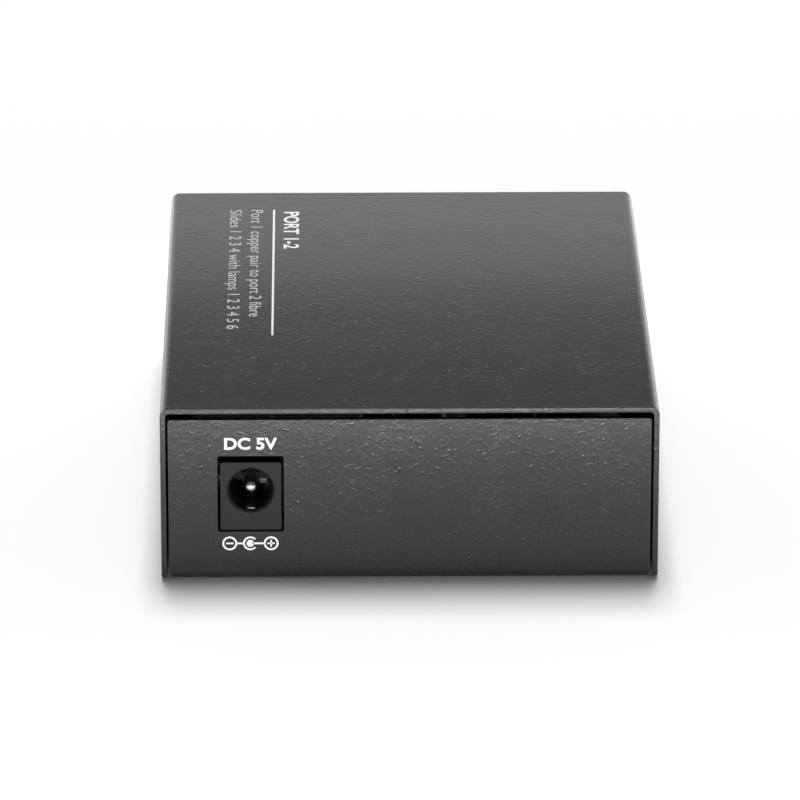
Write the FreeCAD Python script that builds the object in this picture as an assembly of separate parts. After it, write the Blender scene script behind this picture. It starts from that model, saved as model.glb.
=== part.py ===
"""Fibre media converter: a folded steel case with a 5 V inlet, a copper port and a fibre slot.

Millimetres. +Z up, the origin under the middle of the case. The 5 V inlet faces -Y and the
ports face +Y. Every function below builds one node, and main() writes one STEP file for each.
"""
import FreeCAD
import Part
import math
import os

V = FreeCAD.Vector
past = 1.0                   # cutters run this far past the face they leave

# ---------------------------------------------------------------- driving dimensions
# Case
case_width = 70.4
case_depth = 94.0
case_height = 26.0
cover_sheet = 0.8            # thickness of the folded top cover
cover_bend = 0.5             # its inner bend radius
cover_lift = 0.3             # its sides end this far above the underside of the base
cover_corner = 0.8           # rounding of the cover's lower corners
base_sheet = 0.8             # thickness of the folded base
base_bend = 0.5              # its inner bend radius
side_gap = 0.3               # base to the inside of the cover
top_gap = 1.0                # end panels to the underside of the cover's top
panel_recess = 0.4           # end panels stand back from the cover's ends
flange_relief = 0.8          # slot that frees a side of the base from the panel's bend
panel_corner = 0.4           # upper corners of the end panels

# Cover screws: M3 countersunk, two on each side
cover_screw_y = 32.0
cover_screw_z = 10.5
cover_screw_length = 4.0
cover_screw_neck = 0.5       # the shank starts this far inside the head
screw_radius = 1.5           # M3 over the threads, thread not drawn
sink_radius = 2.9            # countersink where it meets the cover's outside
screw_sunk = 0.05            # head below the cover's outside
sink_drive = 1.25            # half width of the cross drive
neck_wall = 0.9              # drawn collar round a tapped hole
neck_length = 1.0
neck_margin = 1.1            # the base's sides end this far above the collars

# Vents: upright slots in both sides
vent_count = 6
vent_pitch = 5.0
vent_width = 1.8
vent_length = 7.0
vent_nip = 0.3               # corners cut off, as a share of the width
vent_rise = 1.0              # vents above the base's sides

# Keyholes for hanging on a wall: head enters the round end, neck slides towards -Y
keyhole_spacing = 60.0
keyhole_entry = 3.6          # radius
keyhole_neck = 1.9           # radius
keyhole_slide = 6.5

# Circuit board on four standoffs
standoff_height = 4.5
standoff_flats = 5.5         # six-sided, across its flats
board_thickness = 1.6
board_side_gap = 1.7         # board to the flanges of the base
board_end_gap = 0.9          # board to the end panels
board_corner = 1.0
standoff_inset = 4.6         # standoffs in from the board's sides
standoff_power_inset = 18.9  # in from its power end
standoff_port_inset = 26.9   # in from its port end
board_hole = 1.7             # radius for an M3 screw
board_screw_length = 6.0     # under the head
pan_head_radius = 2.75
pan_head_height = 1.9
pan_drive = 1.5              # half width of its cross drive
drive_depth = 1.0
drive_slimness = 3.5         # length of a cross arm over its width
notch_gap = 0.5              # the board's notch beyond the cage's collar
notch_round = 0.5
lead_room = 0.4              # slots for flat terminals are this much larger
pin_hole = 0.5               # radius of plated holes for leads
lead_tail = 1.2              # leads pass this far below the board
lead = 0.5                   # width of a square lead

# 5 V inlet
jack_side_gap = 4.85         # housing to the board's -X edge
jack_width = 8.6
jack_height = 10.7
jack_depth = 14.2
jack_flange = 3.4            # full-section front of the housing
jack_axis = 6.5              # bore above the board
jack_bore = 3.15             # radius
jack_bore_depth = 9.3
jack_setback = 0.5           # face behind the outside of the panel
jack_pin = 1.05              # radius
jack_pin_back = 1.0          # tip behind the face
jack_collar = 1.25           # radius of the moulding round the pin's root
jack_collar_back = 5.0       # where that moulding starts behind the face
jack_spigot = 0.85           # radius of the pin where it is held in the moulding
jack_tab_width = 2.4         # flat terminal of the pin
jack_leaf_width = 1.3
jack_leaf = 0.3              # thickness of the contact strips
jack_leaf_back = 1.3
jack_leaf_rise = 0.35        # leaf's bow into the bore
jack_leaf_nose = 0.6         # front of the leaf, bent down out of the plug's way
jack_leaf_toe = 0.7          # length of that front
jack_leaf_crest = 4.0        # top of the bow behind the leaf's front end
jack_leaf_flat = 6.5         # and the end of the bow
jack_recess = 1.35           # width and height of two recesses in the end of the bore
jack_recess_in = 1.05        # from the pin's axis to the nearer side of a recess
jack_recess_depth = 1.2
jack_switch_width = 1.0
jack_lead_back = 1.5         # sleeve terminal behind the end of the bore
jack_window_gap_side = 0.4
jack_window_gap_top = 1.16
jack_sill = 0.4              # the window's sill stands this far above the board
jack_foot_gap = 0.1          # the stepped foot of the housing clears that sill
window_round = 0.35

# Copper port, a shielded eight-way jack with its latch side down
copper_side_gap = 3.6        # shield to the board's +X edge
copper_width = 16.0
copper_height = 13.3
copper_depth = 21.3
port_proud = 0.2             # port faces outside the panel
shield_sheet = 0.25
shield_lug = 1.5             # width of its lugs
shield_lug_back = 9.0        # lugs ahead of the shield's back
shield_finger_heights = (4.0, 9.0)
shield_finger_back = 7.5     # fingers behind the port's face
shield_finger_reach = 2.6    # half their length
shield_finger_width = 1.4
insert_gap = 0.1             # insert inside the shield
peg_radius = 1.6             # locating pegs under the housing
peg_spread = 5.7             # pegs to each side of the middle
peg_back = 12.5              # pegs ahead of the shield's back
plug_width = 11.9
plug_height = 6.9
plug_floor = 4.2             # floor of the plug space above the board
plug_depth = 15.0
latch_width = 6.3
latch_height = 1.6
key_width = 3.3
key_height = 1.5
contact_count = 8
contact_pitch = 1.02
contact_width = 0.45
contact_sheet = 0.3
contact_slot = 0.65
contact_reach = 7.5          # sprung length inside the plug space
contact_drop = 3.4           # its free end below the comb
contact_nose = 0.9           # height of its squared front
contact_rows = (2.6, 4.9)    # leads ahead of the shield's back
comb_back = 3.4              # front of the comb behind the port's face
comb_height = 1.3            # comb above the plug space
comb_gap = 0.25              # contacts below the top of the comb
port_gap = 0.2               # windows round the ports

# Fibre slot, a cage for a pluggable transceiver
cage_x = -0.5
cage_width = 14.5
cage_height = 9.4
cage_depth = 48.7
cage_sheet = 0.25
cage_lift = 0.05
cage_pin_pitch = 9.0
cage_pin_count = 4
cage_pin_back = 2.0          # pins behind the middle of the cage
cage_pin_width = 0.7
cage_round = 0.5
cage_vent = 0.9              # half across its flats
cage_vent_start = 6.0        # first row ahead of the cage's back
cage_vent_pitch = (4.8, 5.0)
cage_vent_columns = 2
cage_vent_rows = 3
latch_tab = 2.6              # half width of the sprung tab
latch_tab_length = 9.5
latch_tab_slit = 0.4
latch_eye = (2.4, 7.4, 5.0)  # the tab's three-sided hole: width, and both ends behind the face
collar_sheet = 0.15
collar_depth = 6.0
collar_bow = 0.45
collar_round = 0.6
collar_setback = 0.3         # behind the cage's mouth
collar_side_count = 2        # fingers on each side of the band
collar_side_fingers = (3.6, 2.2)  # pitch and width
collar_flat_count = 3
collar_flat_fingers = (4.0, 2.4)
collar_slit = 0.3            # beside each finger
edge_width = 11.8            # card-edge connector inside the cage
edge_height = 5.6
edge_depth = 9.2
edge_back = 4.2              # connector ahead of the cage's back
edge_pitch = 0.8
edge_contact_count = 10      # on each side
edge_slot_width = 9.4
edge_slot = (3.0, 4.3)       # its bottom and top above the board
edge_slot_depth = 5.5
edge_step = (2.6, 1.6)       # cut from the upper back corner: depth and height
edge_tail = 1.3              # contact tails stand out this far
edge_tail_width = 0.3
edge_tail_sheet = 0.15
edge_room = 0.4              # cage clears the connector by this

# Indicator lamps: two columns of three
lamp_column_count = 2
lamp_row_count = 3
lamp_pitch = 4.0
lamp_radius = 1.5
lamp_first = 2.6             # lowest lamp above the board
lamp_block_depth = 9.0
lamp_block_gap = 0.2         # block behind the panel
lamp_hole_gap = 0.15
lamp_lead = 0.4              # width of a lamp's square leads
lamp_lead_spread = 1.1       # leads to each side of the lamp's middle
lamp_lead_rows = (0.9, 1.6)  # first row behind the block, and the pitch of the rows
lamp_rear = 2.0              # lamps end this far inside the block's back
lamp_bore_gap = 0.1

# Option switches: four slides
dip_side_gap = 0.1           # body to the board's -X edge
dip_count = 4
dip_pitch = 2.54
dip_height = 9.7
dip_depth = 5.6
dip_end = 0.77               # wall beyond the outer pockets' pitch
dip_gap = 0.3                # body behind the panel
dip_face = 0.8               # thickness of the slotted front
dip_window = 0.8             # the panel's window above and below the slots
dip_lead_rows = (1.2, 2.54)  # first row behind the body, and the pitch of the rows
dip_lead_heights = (2.0, 4.0)  # the first above the board, and the second above that
dip_lead = (0.6, 0.25)       # width and thickness
slide_knob_width = 1.3
slide_knob_height = 1.6
slide_travel = 2.0
slide_clearance = 0.1
slide_foot_width = 1.9
slide_foot_height = 3.0
slide_foot_depth = 1.2
slide_proud = 0.9            # knob in front of the body
slide_groove = (0.25, 0.4)   # depth and width of the thumb groove

# Parts on the board: sizes as width along X, depth along Y and height
part_gap = 1.2               # clear board between neighbouring parts
lead_reach = 1.05            # bent leads stand out this far from a package
lead_knee = 0.45             # and turn down this far out
lead_rise = 0.75             # they leave it this far above the board
lead_sheet = 0.18
lead_share = 0.42            # width of a lead over its pitch
body_lift = 0.1              # packages stand this far off the board
chip_body = 10.0
chip_corner = 0.6
chip_cage_gap = 1.0          # its leads to the cage
chip_height = 1.4
chip_lead_count = 11         # on each side
chip_lead_pitch = 0.8
magnetics_size = (7.1, 15.4, 5.7)
magnetics_lead_count = 12    # on each long side
coarse_pitch = 1.27          # leads of the transformer and the memory
memory_size = (3.9, 4.9, 1.5)
memory_back = 5.0            # its middle behind the chip's
crystal_size = (4.6, 11.2, 3.6)
crystal_foot = (0.2, 0.6)    # its foot is wider by this, and this high
crystal_ahead = 6.5          # its middle ahead of the chip's
can_radius = 3.15
can_height = 5.8
can_base = 0.15              # its plastic base is this much wider
can_base_height = 1.0
can_chamfer = 1.0
diode_size = (4.4, 2.6, 2.2)
fuse_size = (4.6, 3.2, 1.0)
regulator_size = (6.5, 3.5, 1.6)
inductor_size = (7.0, 7.0, 4.0)
# Rows of the supply, each in from the board's power end
fuse_row = 6.9
diode_row = 14.9
can_rows = (7.9, 16.4, 11.9)
regulator_row = 22.9
regulator_lead_count = 3
regulator_lead_pitch = 2.3
regulator_tab = (3.0, 1.8, 0.3)
inductor_corner = 1.5
inductor_recess = (2.4, 0.25)  # radius and depth
chip_part = (1.6, 0.8, 0.8)   # small capacitors
film_part = (1.6, 0.8, 0.45)  # small resistors
end_cap = 0.3                # metal ends of those
end_proud = 0.03             # and their thickness
clip_end = (0.6, 0.55)       # metal ends of the diode and fuse: length, and share of the section
chip_part_reach = 2.6        # rows of capacitors out from the chip
chip_part_pitch = 2.6
row_back = 7.0               # resistors behind the switches and the lamps
row_pitch = 2.0

# ---------------------------------------------------------------- places that follow
half_width = case_width / 2
half_depth = case_depth / 2
cover_inside = half_width - cover_sheet
base_half = cover_inside - side_gap
panel_outer = half_depth - panel_recess
panel_inner = panel_outer - base_sheet
panel_top = case_height - cover_sheet - top_gap
flange_inner = base_half - base_sheet
flange_height = cover_screw_z + screw_radius + neck_wall + neck_margin
vent_z = flange_height + vent_rise + vent_length / 2
flange_end = panel_outer - base_sheet - base_bend - flange_relief
board_bottom = base_sheet + standoff_height
board_top = board_bottom + board_thickness
board_half = flange_inner - board_side_gap
board_end = panel_inner - board_end_gap
port_face = panel_outer + port_proud
jack_face = -(panel_outer - jack_setback)
jack_x = -board_half + jack_side_gap + jack_width / 2
jack_z = board_top + jack_axis
copper_x = board_half - copper_side_gap - copper_width / 2
dip_half = (dip_count - 1) * dip_pitch / 2 + slide_foot_width / 2 + dip_end
dip_x = -board_half + dip_side_gap + dip_half
lamp_x = (dip_x + dip_half + cage_x - cage_width / 2) / 2
standoff_x = board_half - standoff_inset
standoff_y = (-board_end + standoff_power_inset, board_end - standoff_port_inset)
dip_face_y = panel_inner - dip_gap
lamp_face_y = panel_inner - lamp_block_gap
lamp_block_height = lamp_first + (lamp_row_count - 1) * lamp_pitch + lamp_pitch / 2

# ---------------------------------------------------------------- shape helpers
PLANES = {
    "xz": (lambda u, v, at: V(u, at, v), V(0, 1, 0)),
    "yz": (lambda u, v, at: V(at, u, v), V(1, 0, 0)),
    "xy": (lambda u, v, at: V(u, v, at), V(0, 0, 1)),
}


def block(x0, x1, y0, y1, z0, z1):
    """Box between two corners."""
    return Part.makeBox(x1 - x0, y1 - y0, z1 - z0, V(x0, y0, z0))


def centred(spot, size, bottom):
    """Box of a given size that stands on a height, centred on a spot."""
    x, y = spot
    wide, deep, high = size
    return block(x - wide / 2, x + wide / 2, y - deep / 2, y + deep / 2, bottom, bottom + high)


def rod(radius, start, end):
    """Cylinder from one point to another."""
    return Part.makeCylinder(radius, (end - start).Length, start, end - start)


def prism(sides, flat, spot, start, end, plane="xy"):
    """Column with flat sides, each this far from its middle. It stands in for small round holes
    that nobody sees, which there are dozens of."""
    u, v = spot
    reach, step = flat / math.cos(math.pi / sides), 2 * math.pi / sides
    return extruded([(u + reach * math.cos((i + 0.5) * step), v + reach * math.sin((i + 0.5) * step))
                     for i in range(sides)], 0, plane, start, end)


def taper(radius_start, radius_end, start, end):
    """Cone frustum from one point to another."""
    return Part.makeCone(radius_start, radius_end, (end - start).Length, start, end - start)


def rounded_face(points, radii):
    """Flat face through corner points, each corner rounded by its own radius."""
    count = len(points)
    corners = []
    for i, corner in enumerate(points):
        if not radii[i]:
            corners.append((corner, None, corner))
            continue
        before = (points[i - 1] - corner).normalize()
        after = (points[(i + 1) % count] - corner).normalize()
        half = before.getAngle(after) / 2
        reach = radii[i] / math.tan(half)
        sagitta = radii[i] / math.sin(half) - radii[i]
        middle = corner + (before + after).normalize() * sagitta
        corners.append((corner + before * reach, middle, corner + after * reach))
    edges = []
    for i, (start, middle, end) in enumerate(corners):
        if middle is not None:
            edges.append(Part.Arc(start, middle, end).toShape())
        following = corners[(i + 1) % count][0]
        if (following - end).Length > 1e-6:
            edges.append(Part.LineSegment(end, following).toShape())
    return Part.Face(Part.Wire(edges))


def extruded(points, radii, plane, start, end):
    """Rounded outline in a plane, pushed from one level to another."""
    to_space, normal = PLANES[plane]
    if not isinstance(radii, (list, tuple)):
        radii = [radii] * len(points)
    face = rounded_face([to_space(u, v, start) for u, v in points], radii)
    return face.extrude(normal * (end - start))


def slab(u0, u1, v0, v1, radii, plane, start, end):
    """Rectangle with rounded corners, pushed from one level to another."""
    return extruded([(u0, v0), (u1, v0), (u1, v1), (u0, v1)], radii, plane, start, end)


def folded(path, sheet, bend, plane, start, end):
    """Sheet that follows an open path, thickened to the left of it.

    The bend is the inner radius of every fold; None leaves the folds sharp, as on fine leads.
    """
    near, far, near_radii, far_radii = [], [], [], []
    for i, (u, v) in enumerate(path):
        ways = []
        if i > 0:
            ways.append((u - path[i - 1][0], v - path[i - 1][1]))
        if i < len(path) - 1:
            ways.append((path[i + 1][0] - u, path[i + 1][1] - v))
        units = [(a / math.hypot(a, b), b / math.hypot(a, b)) for a, b in ways]
        normal_u = -sum(b for a, b in units) / len(units)
        normal_v = sum(a for a, b in units) / len(units)
        stretch = sheet / (normal_u ** 2 + normal_v ** 2)
        near.append((u, v))
        far.append((u + normal_u * stretch, v + normal_v * stretch))
        turn = 0
        if len(units) == 2:
            turn = units[0][0] * units[1][1] - units[0][1] * units[1][0]
        sharp = bend is None or not turn
        near_radii.append(0 if sharp else bend + (sheet if turn > 0 else 0))
        far_radii.append(0 if sharp else bend + (sheet if turn < 0 else 0))
    return extruded(near + far[::-1], near_radii + far_radii[::-1], plane, start, end)


def joined(shapes):
    """One solid from pieces that meet."""
    return shapes[0].multiFuse(shapes[1:]).removeSplitter()


def minus(shape, tools):
    """Shape with several others cut away."""
    return shape.cut(Part.makeCompound(tools)) if tools else shape


def group(shapes):
    """Separate solids kept in one node."""
    return Part.makeCompound(shapes)


def cross_drive(centre, axis, half, depth):
    """Cross recess for a screwdriver, sunk against the axis."""
    side = V(0, 0, 1) if abs(axis.z) < 0.5 else V(1, 0, 0)
    other = axis.cross(side)
    arms = []
    for along, across in ((side, other), (other, side)):
        corners = [centre + along * (half * a) + across * (half * b / drive_slimness) + axis * past
                   for a, b in ((-1, -1), (1, -1), (1, 1), (-1, 1))]
        arms.append(rounded_face(corners, [0] * 4).extrude(axis * -(depth + past)))
    return arms[0].fuse(arms[1])


# ---------------------------------------------------------------- places used by several nodes
def cover_screw_spots():
    """Axis points of the cover screws: the side (+1 or -1) and the place along the case."""
    return [(side, y) for side in (-1, 1) for y in (-cover_screw_y, cover_screw_y)]


def board_screw_spots():
    return [(x, y) for x in (-standoff_x, standoff_x) for y in standoff_y]


def jack_lead_spots():
    """Leads of the inlet: centre pin behind, sleeve leaf below, switch blade in a recess."""
    bore_end = jack_face + jack_bore_depth
    return {
        "pin": (jack_x, jack_face + jack_depth + jack_leaf / 2),
        "sleeve": (jack_x, bore_end + jack_lead_back),
        "switch": (jack_x + jack_recess_in + jack_recess / 2, bore_end + jack_recess_depth / 2),
    }


def contact_xs(centre, count, pitch):
    """Evenly pitched places about a centre."""
    return [centre + (i - (count - 1) / 2) * pitch for i in range(count)]


def copper_lead_spots():
    """Two staggered rows behind the plug space."""
    rows = [port_face - copper_depth + row for row in contact_rows]
    return [(x, rows[i % 2]) for i, x in enumerate(contact_xs(copper_x, contact_count, contact_pitch))]


def cage_pin_spots():
    """Press-in pins down both sides of the cage."""
    middle = port_face - cage_depth / 2 - cage_pin_back
    side = (cage_width - cage_sheet) / 2
    return [(cage_x + s * side, y) for s in (-1, 1)
            for y in contact_xs(middle, cage_pin_count, cage_pin_pitch)]


def lamp_spots():
    """Centres of the lamps on the panel."""
    return [(x, board_top + lamp_first + row * lamp_pitch)
            for x in contact_xs(lamp_x, lamp_column_count, lamp_pitch) for row in range(lamp_row_count)]


def lamp_lead_spots():
    """Two leads for every lamp: each row of lamps has its own row of holes."""
    spots = []
    for x in contact_xs(lamp_x, lamp_column_count, lamp_pitch):
        for row in range(lamp_row_count):
            y = lamp_face_y - lamp_block_depth - lamp_lead_rows[0] - row * lamp_lead_rows[1]
            spots += [(x - lamp_lead_spread, y, row), (x + lamp_lead_spread, y, row)]
    return spots


def dip_lead_spots():
    """Two rows of leads behind the switch body."""
    back = dip_face_y - dip_depth
    first, pitch = dip_lead_rows
    return [(x, back - first - pitch * row, row) for x in contact_xs(dip_x, dip_count, dip_pitch)
            for row in (0, 1)]


# ---------------------------------------------------------------- case
def top_cover():
    """One sheet folded over the top and down both sides, dimpled for the screws and vented."""
    path = [(half_width, cover_lift), (half_width, case_height),
            (-half_width, case_height), (-half_width, cover_lift)]
    shell = folded(path, cover_sheet, cover_bend, "xz", -half_depth, half_depth)
    outline = slab(-half_depth, half_depth, cover_lift, case_height,
                   [cover_corner, cover_corner, 0, 0], "yz", -half_width, half_width)
    shell = shell.common(outline)
    dimples, tools = [], []
    for side, y in cover_screw_spots():
        outside = V(side * half_width, y, cover_screw_z)
        inward = V(-side, 0, 0)
        rim = sink_radius + cover_sheet * (math.sqrt(2) - 1)
        start = outside + inward * cover_sheet
        dimples.append(taper(rim, rim - side_gap, start, start + inward * side_gap))
        through = cover_sheet + side_gap
        tools.append(taper(sink_radius + past, sink_radius - through - 0.5,
                           outside - inward, outside + inward * (through + 0.5)))
    for side in (-1, 1):
        inner, outer = sorted((side * (cover_inside - past), side * (half_width + past)))
        for y in contact_xs(0, vent_count, vent_pitch):
            tools.append(nipped(y, vent_z, vent_width, vent_length, inner, outer))
    return minus(joined([shell] + dimples), tools)


def nipped(y, z, wide, high, inner, outer):
    """Upright slot whose corners are cut off, through a side wall."""
    half, reach, nip = wide / 2, high / 2, wide * vent_nip
    corner = [(half - nip, reach), (half, reach - nip)]
    quarter = corner + [(a, -b) for a, b in corner[::-1]]
    return extruded([(y + a, z + b) for a, b in quarter + [(-a, -b) for a, b in quarter]],
                    0, "yz", inner, outer)


def base_chassis():
    """Tray folded from one sheet: floor, two end panels, and sides that take the cover's screws."""
    sides = folded([(-base_half, flange_height), (-base_half, 0), (base_half, 0),
                    (base_half, flange_height)], base_sheet, base_bend, "xz", -flange_end, flange_end)
    ends = folded([(-panel_outer, panel_top), (-panel_outer, 0), (panel_outer, 0),
                   (panel_outer, panel_top)], base_sheet, base_bend, "yz", -base_half, base_half)
    lower = base_bend + base_sheet
    outline = slab(-base_half, base_half, 0, panel_top, [lower, lower, panel_corner, panel_corner],
                   "xz", -panel_outer, panel_outer)
    pieces = [sides, ends]
    tools = []
    for side, y in cover_screw_spots():
        face = V(side * base_half, y, cover_screw_z)
        inward = V(-side, 0, 0)
        neck_end = face + inward * (base_sheet + neck_length)
        pieces.append(rod(screw_radius + neck_wall, face + inward * base_sheet / 2, neck_end))
        sunk = sink_radius - cover_sheet - side_gap
        tools.append(taper(sunk, screw_radius, face, face + inward * (sunk - screw_radius)))
        tools.append(rod(screw_radius, face, neck_end + inward))
    for x in (-1, 1):
        for y in (-1, 1):
            xs = sorted((x * (base_half - lower), x * (base_half + past)))
            ys = sorted((y * flange_end, y * (flange_end + flange_relief)))
            tools.append(block(xs[0], xs[1], ys[0], ys[1], -past, flange_height + past))
    tools += panel_windows() + keyholes()
    return minus(joined(pieces).common(outline.fuse(necks_room())), tools).removeSplitter()


def necks_room():
    """Room inside the tray, so that trimming its lower corners leaves the screw necks whole."""
    return block(-flange_inner, flange_inner, -flange_end, flange_end, 0, panel_top)


def panel_windows():
    """Cut-outs of both end panels, each a little larger than what shows through it."""
    rear = (-panel_outer - past, -panel_inner + past)
    front = (panel_inner - past, panel_outer + past)
    half = jack_width / 2 + jack_window_gap_side
    tools = [slab(jack_x - half, jack_x + half, board_top + jack_sill,
                  board_top + jack_height + jack_window_gap_top, window_round, "xz", *rear)]
    half = copper_width / 2 + port_gap
    tools.append(block(copper_x - half, copper_x + half, *front, board_top - port_gap,
                       board_top + copper_height + port_gap))
    reach = port_gap + collar_sheet + collar_bow
    half = cage_width / 2 + reach
    bottom = board_top + cage_lift
    tools.append(slab(cage_x - half, cage_x + half, bottom - reach, bottom + cage_height + reach,
                      window_round, "xz", *front))
    for x, z in lamp_spots():
        tools.append(rod(lamp_radius + lamp_hole_gap, V(x, front[0], z), V(x, front[1], z)))
    half = (dip_count - 1) * dip_pitch / 2 + slide_foot_width / 2
    low, high = dip_slot_ends()
    tools.append(block(dip_x - half, dip_x + half, *front, low - dip_window, high + dip_window))
    return tools


def keyholes():
    """Two keyholes through the floor of the base."""
    tools = []
    for y in (-keyhole_spacing / 2, keyhole_spacing / 2):
        tools.append(rod(keyhole_entry, V(0, y, -past), V(0, y, base_sheet + past)))
        tools.append(slab(-keyhole_neck, keyhole_neck, y - keyhole_slide - keyhole_neck, y,
                          [keyhole_neck * 0.999] * 2 + [0, 0], "xy", -past, base_sheet + past))
    return tools


def cover_screws():
    """Four M3 countersunk screws with their heads just below the cover's face."""
    screws = []
    for side, y in cover_screw_spots():
        inward = V(-side, 0, 0)
        head = V(side * half_width, y, cover_screw_z) + inward * screw_sunk
        head_radius = sink_radius - screw_sunk
        cone = taper(head_radius, screw_radius, head, head + inward * (head_radius - screw_radius))
        shank = rod(screw_radius, head + inward * cover_screw_neck, head + inward * cover_screw_length)
        drive = cross_drive(head, inward * -1, sink_drive, drive_depth)
        screws.append(cone.fuse(shank).cut(drive))
    return group(screws)


# ---------------------------------------------------------------- board and its fixings
def pcb_standoffs():
    """Six-sided standoffs welded to the base, tapped through."""
    return group([prism(6, standoff_flats / 2, spot, base_sheet, board_bottom).cut(
        prism(12, screw_radius, spot, 0, board_top)) for spot in board_screw_spots()])


def pcb_screws():
    """Pan-head screws that hold the board down on its standoffs."""
    parts = []
    for x, y in board_screw_spots():
        shank = rod(screw_radius, V(x, y, board_top - board_screw_length), V(x, y, board_top))
        crown = V(x, y, board_top + pan_head_height)
        head = rod(pan_head_radius, V(x, y, board_top), crown)
        parts.append(head.fuse(shank).cut(cross_drive(crown, V(0, 0, 1), pan_drive, drive_depth)))
    return group(parts)


def circuit_board():
    """Board with a notch under the cage's front and holes for every lead and screw."""
    notch_half = cage_width / 2 + collar_sheet + collar_bow + port_gap
    notch_start = port_face - collar_depth - notch_gap
    board = extruded([(-board_half, -board_end), (board_half, -board_end), (board_half, board_end),
                      (cage_x + notch_half, board_end), (cage_x + notch_half, notch_start),
                      (cage_x - notch_half, notch_start), (cage_x - notch_half, board_end),
                      (-board_half, board_end)],
                     [board_corner, board_corner, board_corner, 0, notch_round, notch_round, 0,
                      board_corner],
                     "xy", board_bottom, board_top)
    low, high = board_bottom - past, board_top + past
    tools = [prism(12, board_hole, spot, low, high) for spot in board_screw_spots()]
    small = copper_lead_spots() + cage_pin_spots()
    small += [spot[:2] for spot in lamp_lead_spots() + dip_lead_spots()]
    tools += [prism(8, pin_hole, spot, low, high) for spot in small]
    tools += [prism(12, peg_radius + 0.1, spot, low, high) for spot in copper_peg_spots()]
    for x, y, wide, deep in flat_lead_slots():
        tools.append(block(x - wide / 2, x + wide / 2, y - deep / 2, y + deep / 2, low, high))
    return minus(board, tools)


def flat_lead_slots():
    """Slots for flat terminals: middle, width and depth."""
    spots = jack_lead_spots()
    slots = [(*spots["pin"], jack_tab_width + lead_room, jack_leaf + lead_room),
             (*spots["sleeve"], jack_leaf_width + lead_room, jack_leaf + lead_room),
             (*spots["switch"], jack_switch_width + lead_room, jack_leaf + lead_room)]
    for side in (-1, 1):
        slots.append((copper_x + side * (copper_width - shield_sheet) / 2, shield_lug_y(),
                      shield_sheet + lead_room, shield_lug + lead_room))
    return slots


# ---------------------------------------------------------------- 5 V inlet
def dc_jack_housing():
    """Moulded inlet: square front, round-topped barrel, bore with a collar round the pin's root."""
    half = jack_width / 2
    back = jack_face + jack_depth
    front = slab(jack_x - half, jack_x + half, board_top, board_top + jack_height,
                 [0, 0, 0.4, 0.4], "xz", jack_face, jack_face + jack_flange)
    barrel_half = half - 0.2
    barrel = slab(jack_x - barrel_half, jack_x + barrel_half, board_top, jack_z + barrel_half,
                  [0, 0, barrel_half * 0.98, barrel_half * 0.98], "xz", jack_face, back)
    bore_end = jack_face + jack_bore_depth
    at = lambda y, z=jack_z: V(jack_x, y, z)
    bore = rod(jack_bore, at(jack_face - past), at(bore_end))
    bore = bore.cut(rod(jack_collar, at(jack_face + jack_collar_back), at(bore_end)))
    lead_in = taper(jack_bore + 0.3, jack_bore, at(jack_face), at(jack_face + 0.3))
    through = rod(jack_spigot, at(jack_face), at(back + past))
    leaf_y = jack_lead_spots()["sleeve"][1] + jack_leaf / 2
    leaf_half = jack_leaf_width / 2 + 0.1
    channel = block(jack_x - leaf_half, jack_x + leaf_half, jack_face + jack_leaf_back - jack_leaf,
                    leaf_y, leaf_level() - jack_leaf_nose, jack_z - jack_bore + 0.6)
    drop = block(jack_x - leaf_half, jack_x + leaf_half, leaf_y - jack_leaf - 1.0, leaf_y,
                 board_top, leaf_level() + 0.1)
    recesses = []
    for side in (-1, 1):
        xs = sorted((jack_x + side * jack_recess_in, jack_x + side * (jack_recess_in + jack_recess)))
        recesses.append(block(xs[0], xs[1], bore_end - 0.1, bore_end + jack_recess_depth,
                              jack_z - jack_bore, jack_z - jack_bore + jack_recess))
    switch_x, switch_y = jack_lead_spots()["switch"]
    switch_drop = block(switch_x - jack_switch_width / 2, switch_x + jack_switch_width / 2,
                        switch_y - jack_leaf / 2, switch_y + jack_leaf / 2,
                        board_top, jack_z - jack_bore)
    step = block(jack_x - half - past, jack_x + half + past, jack_face - past,
                 -panel_inner + jack_foot_gap, board_top - past, board_top + jack_sill + jack_foot_gap)
    return minus(joined([front, barrel]),
                 [bore, lead_in, through, channel, drop, switch_drop, step] + recesses)


def leaf_level():
    """Underside of the sleeve leaf where it lies flat in its channel."""
    return jack_z - jack_bore - jack_leaf - 0.05


def dc_jack_centre_pin():
    """Turned pin with a domed tip, seated on its collar and riveted to a terminal behind."""
    back = jack_face + jack_depth
    tip = jack_face + jack_pin_back + jack_pin
    seat = jack_face + jack_collar_back
    pin = rod(jack_pin, V(jack_x, tip, jack_z), V(jack_x, seat, jack_z))
    spigot = rod(jack_spigot, V(jack_x, seat, jack_z), V(jack_x, back, jack_z))
    dome = Part.makeSphere(jack_pin, V(jack_x, tip, jack_z))
    half = jack_tab_width / 2
    terminal = slab(jack_x - half, jack_x + half, board_bottom - lead_tail, jack_z + half + 0.3,
                    [0.5, 0.5, half * 0.9, half * 0.9], "xz", back, back + jack_leaf)
    return joined([pin, dome, spigot, terminal])


def dc_jack_sleeve_leaf():
    """Spring strip along the bottom of the bore, bowed to press on the plug's sleeve."""
    y0 = jack_face + jack_leaf_back
    y1 = jack_lead_spots()["sleeve"][1] - jack_leaf / 2
    low = leaf_level()
    path = [(y0, low - jack_leaf_nose + 0.1), (y0 + jack_leaf_toe, low),
            (y0 + jack_leaf_crest, low + jack_leaf_rise), (y0 + jack_leaf_flat, low), (y1, low), (y1, board_bottom - lead_tail)]
    return folded(path, jack_leaf, 0.3, "yz", jack_x - jack_leaf_width / 2, jack_x + jack_leaf_width / 2)


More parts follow.
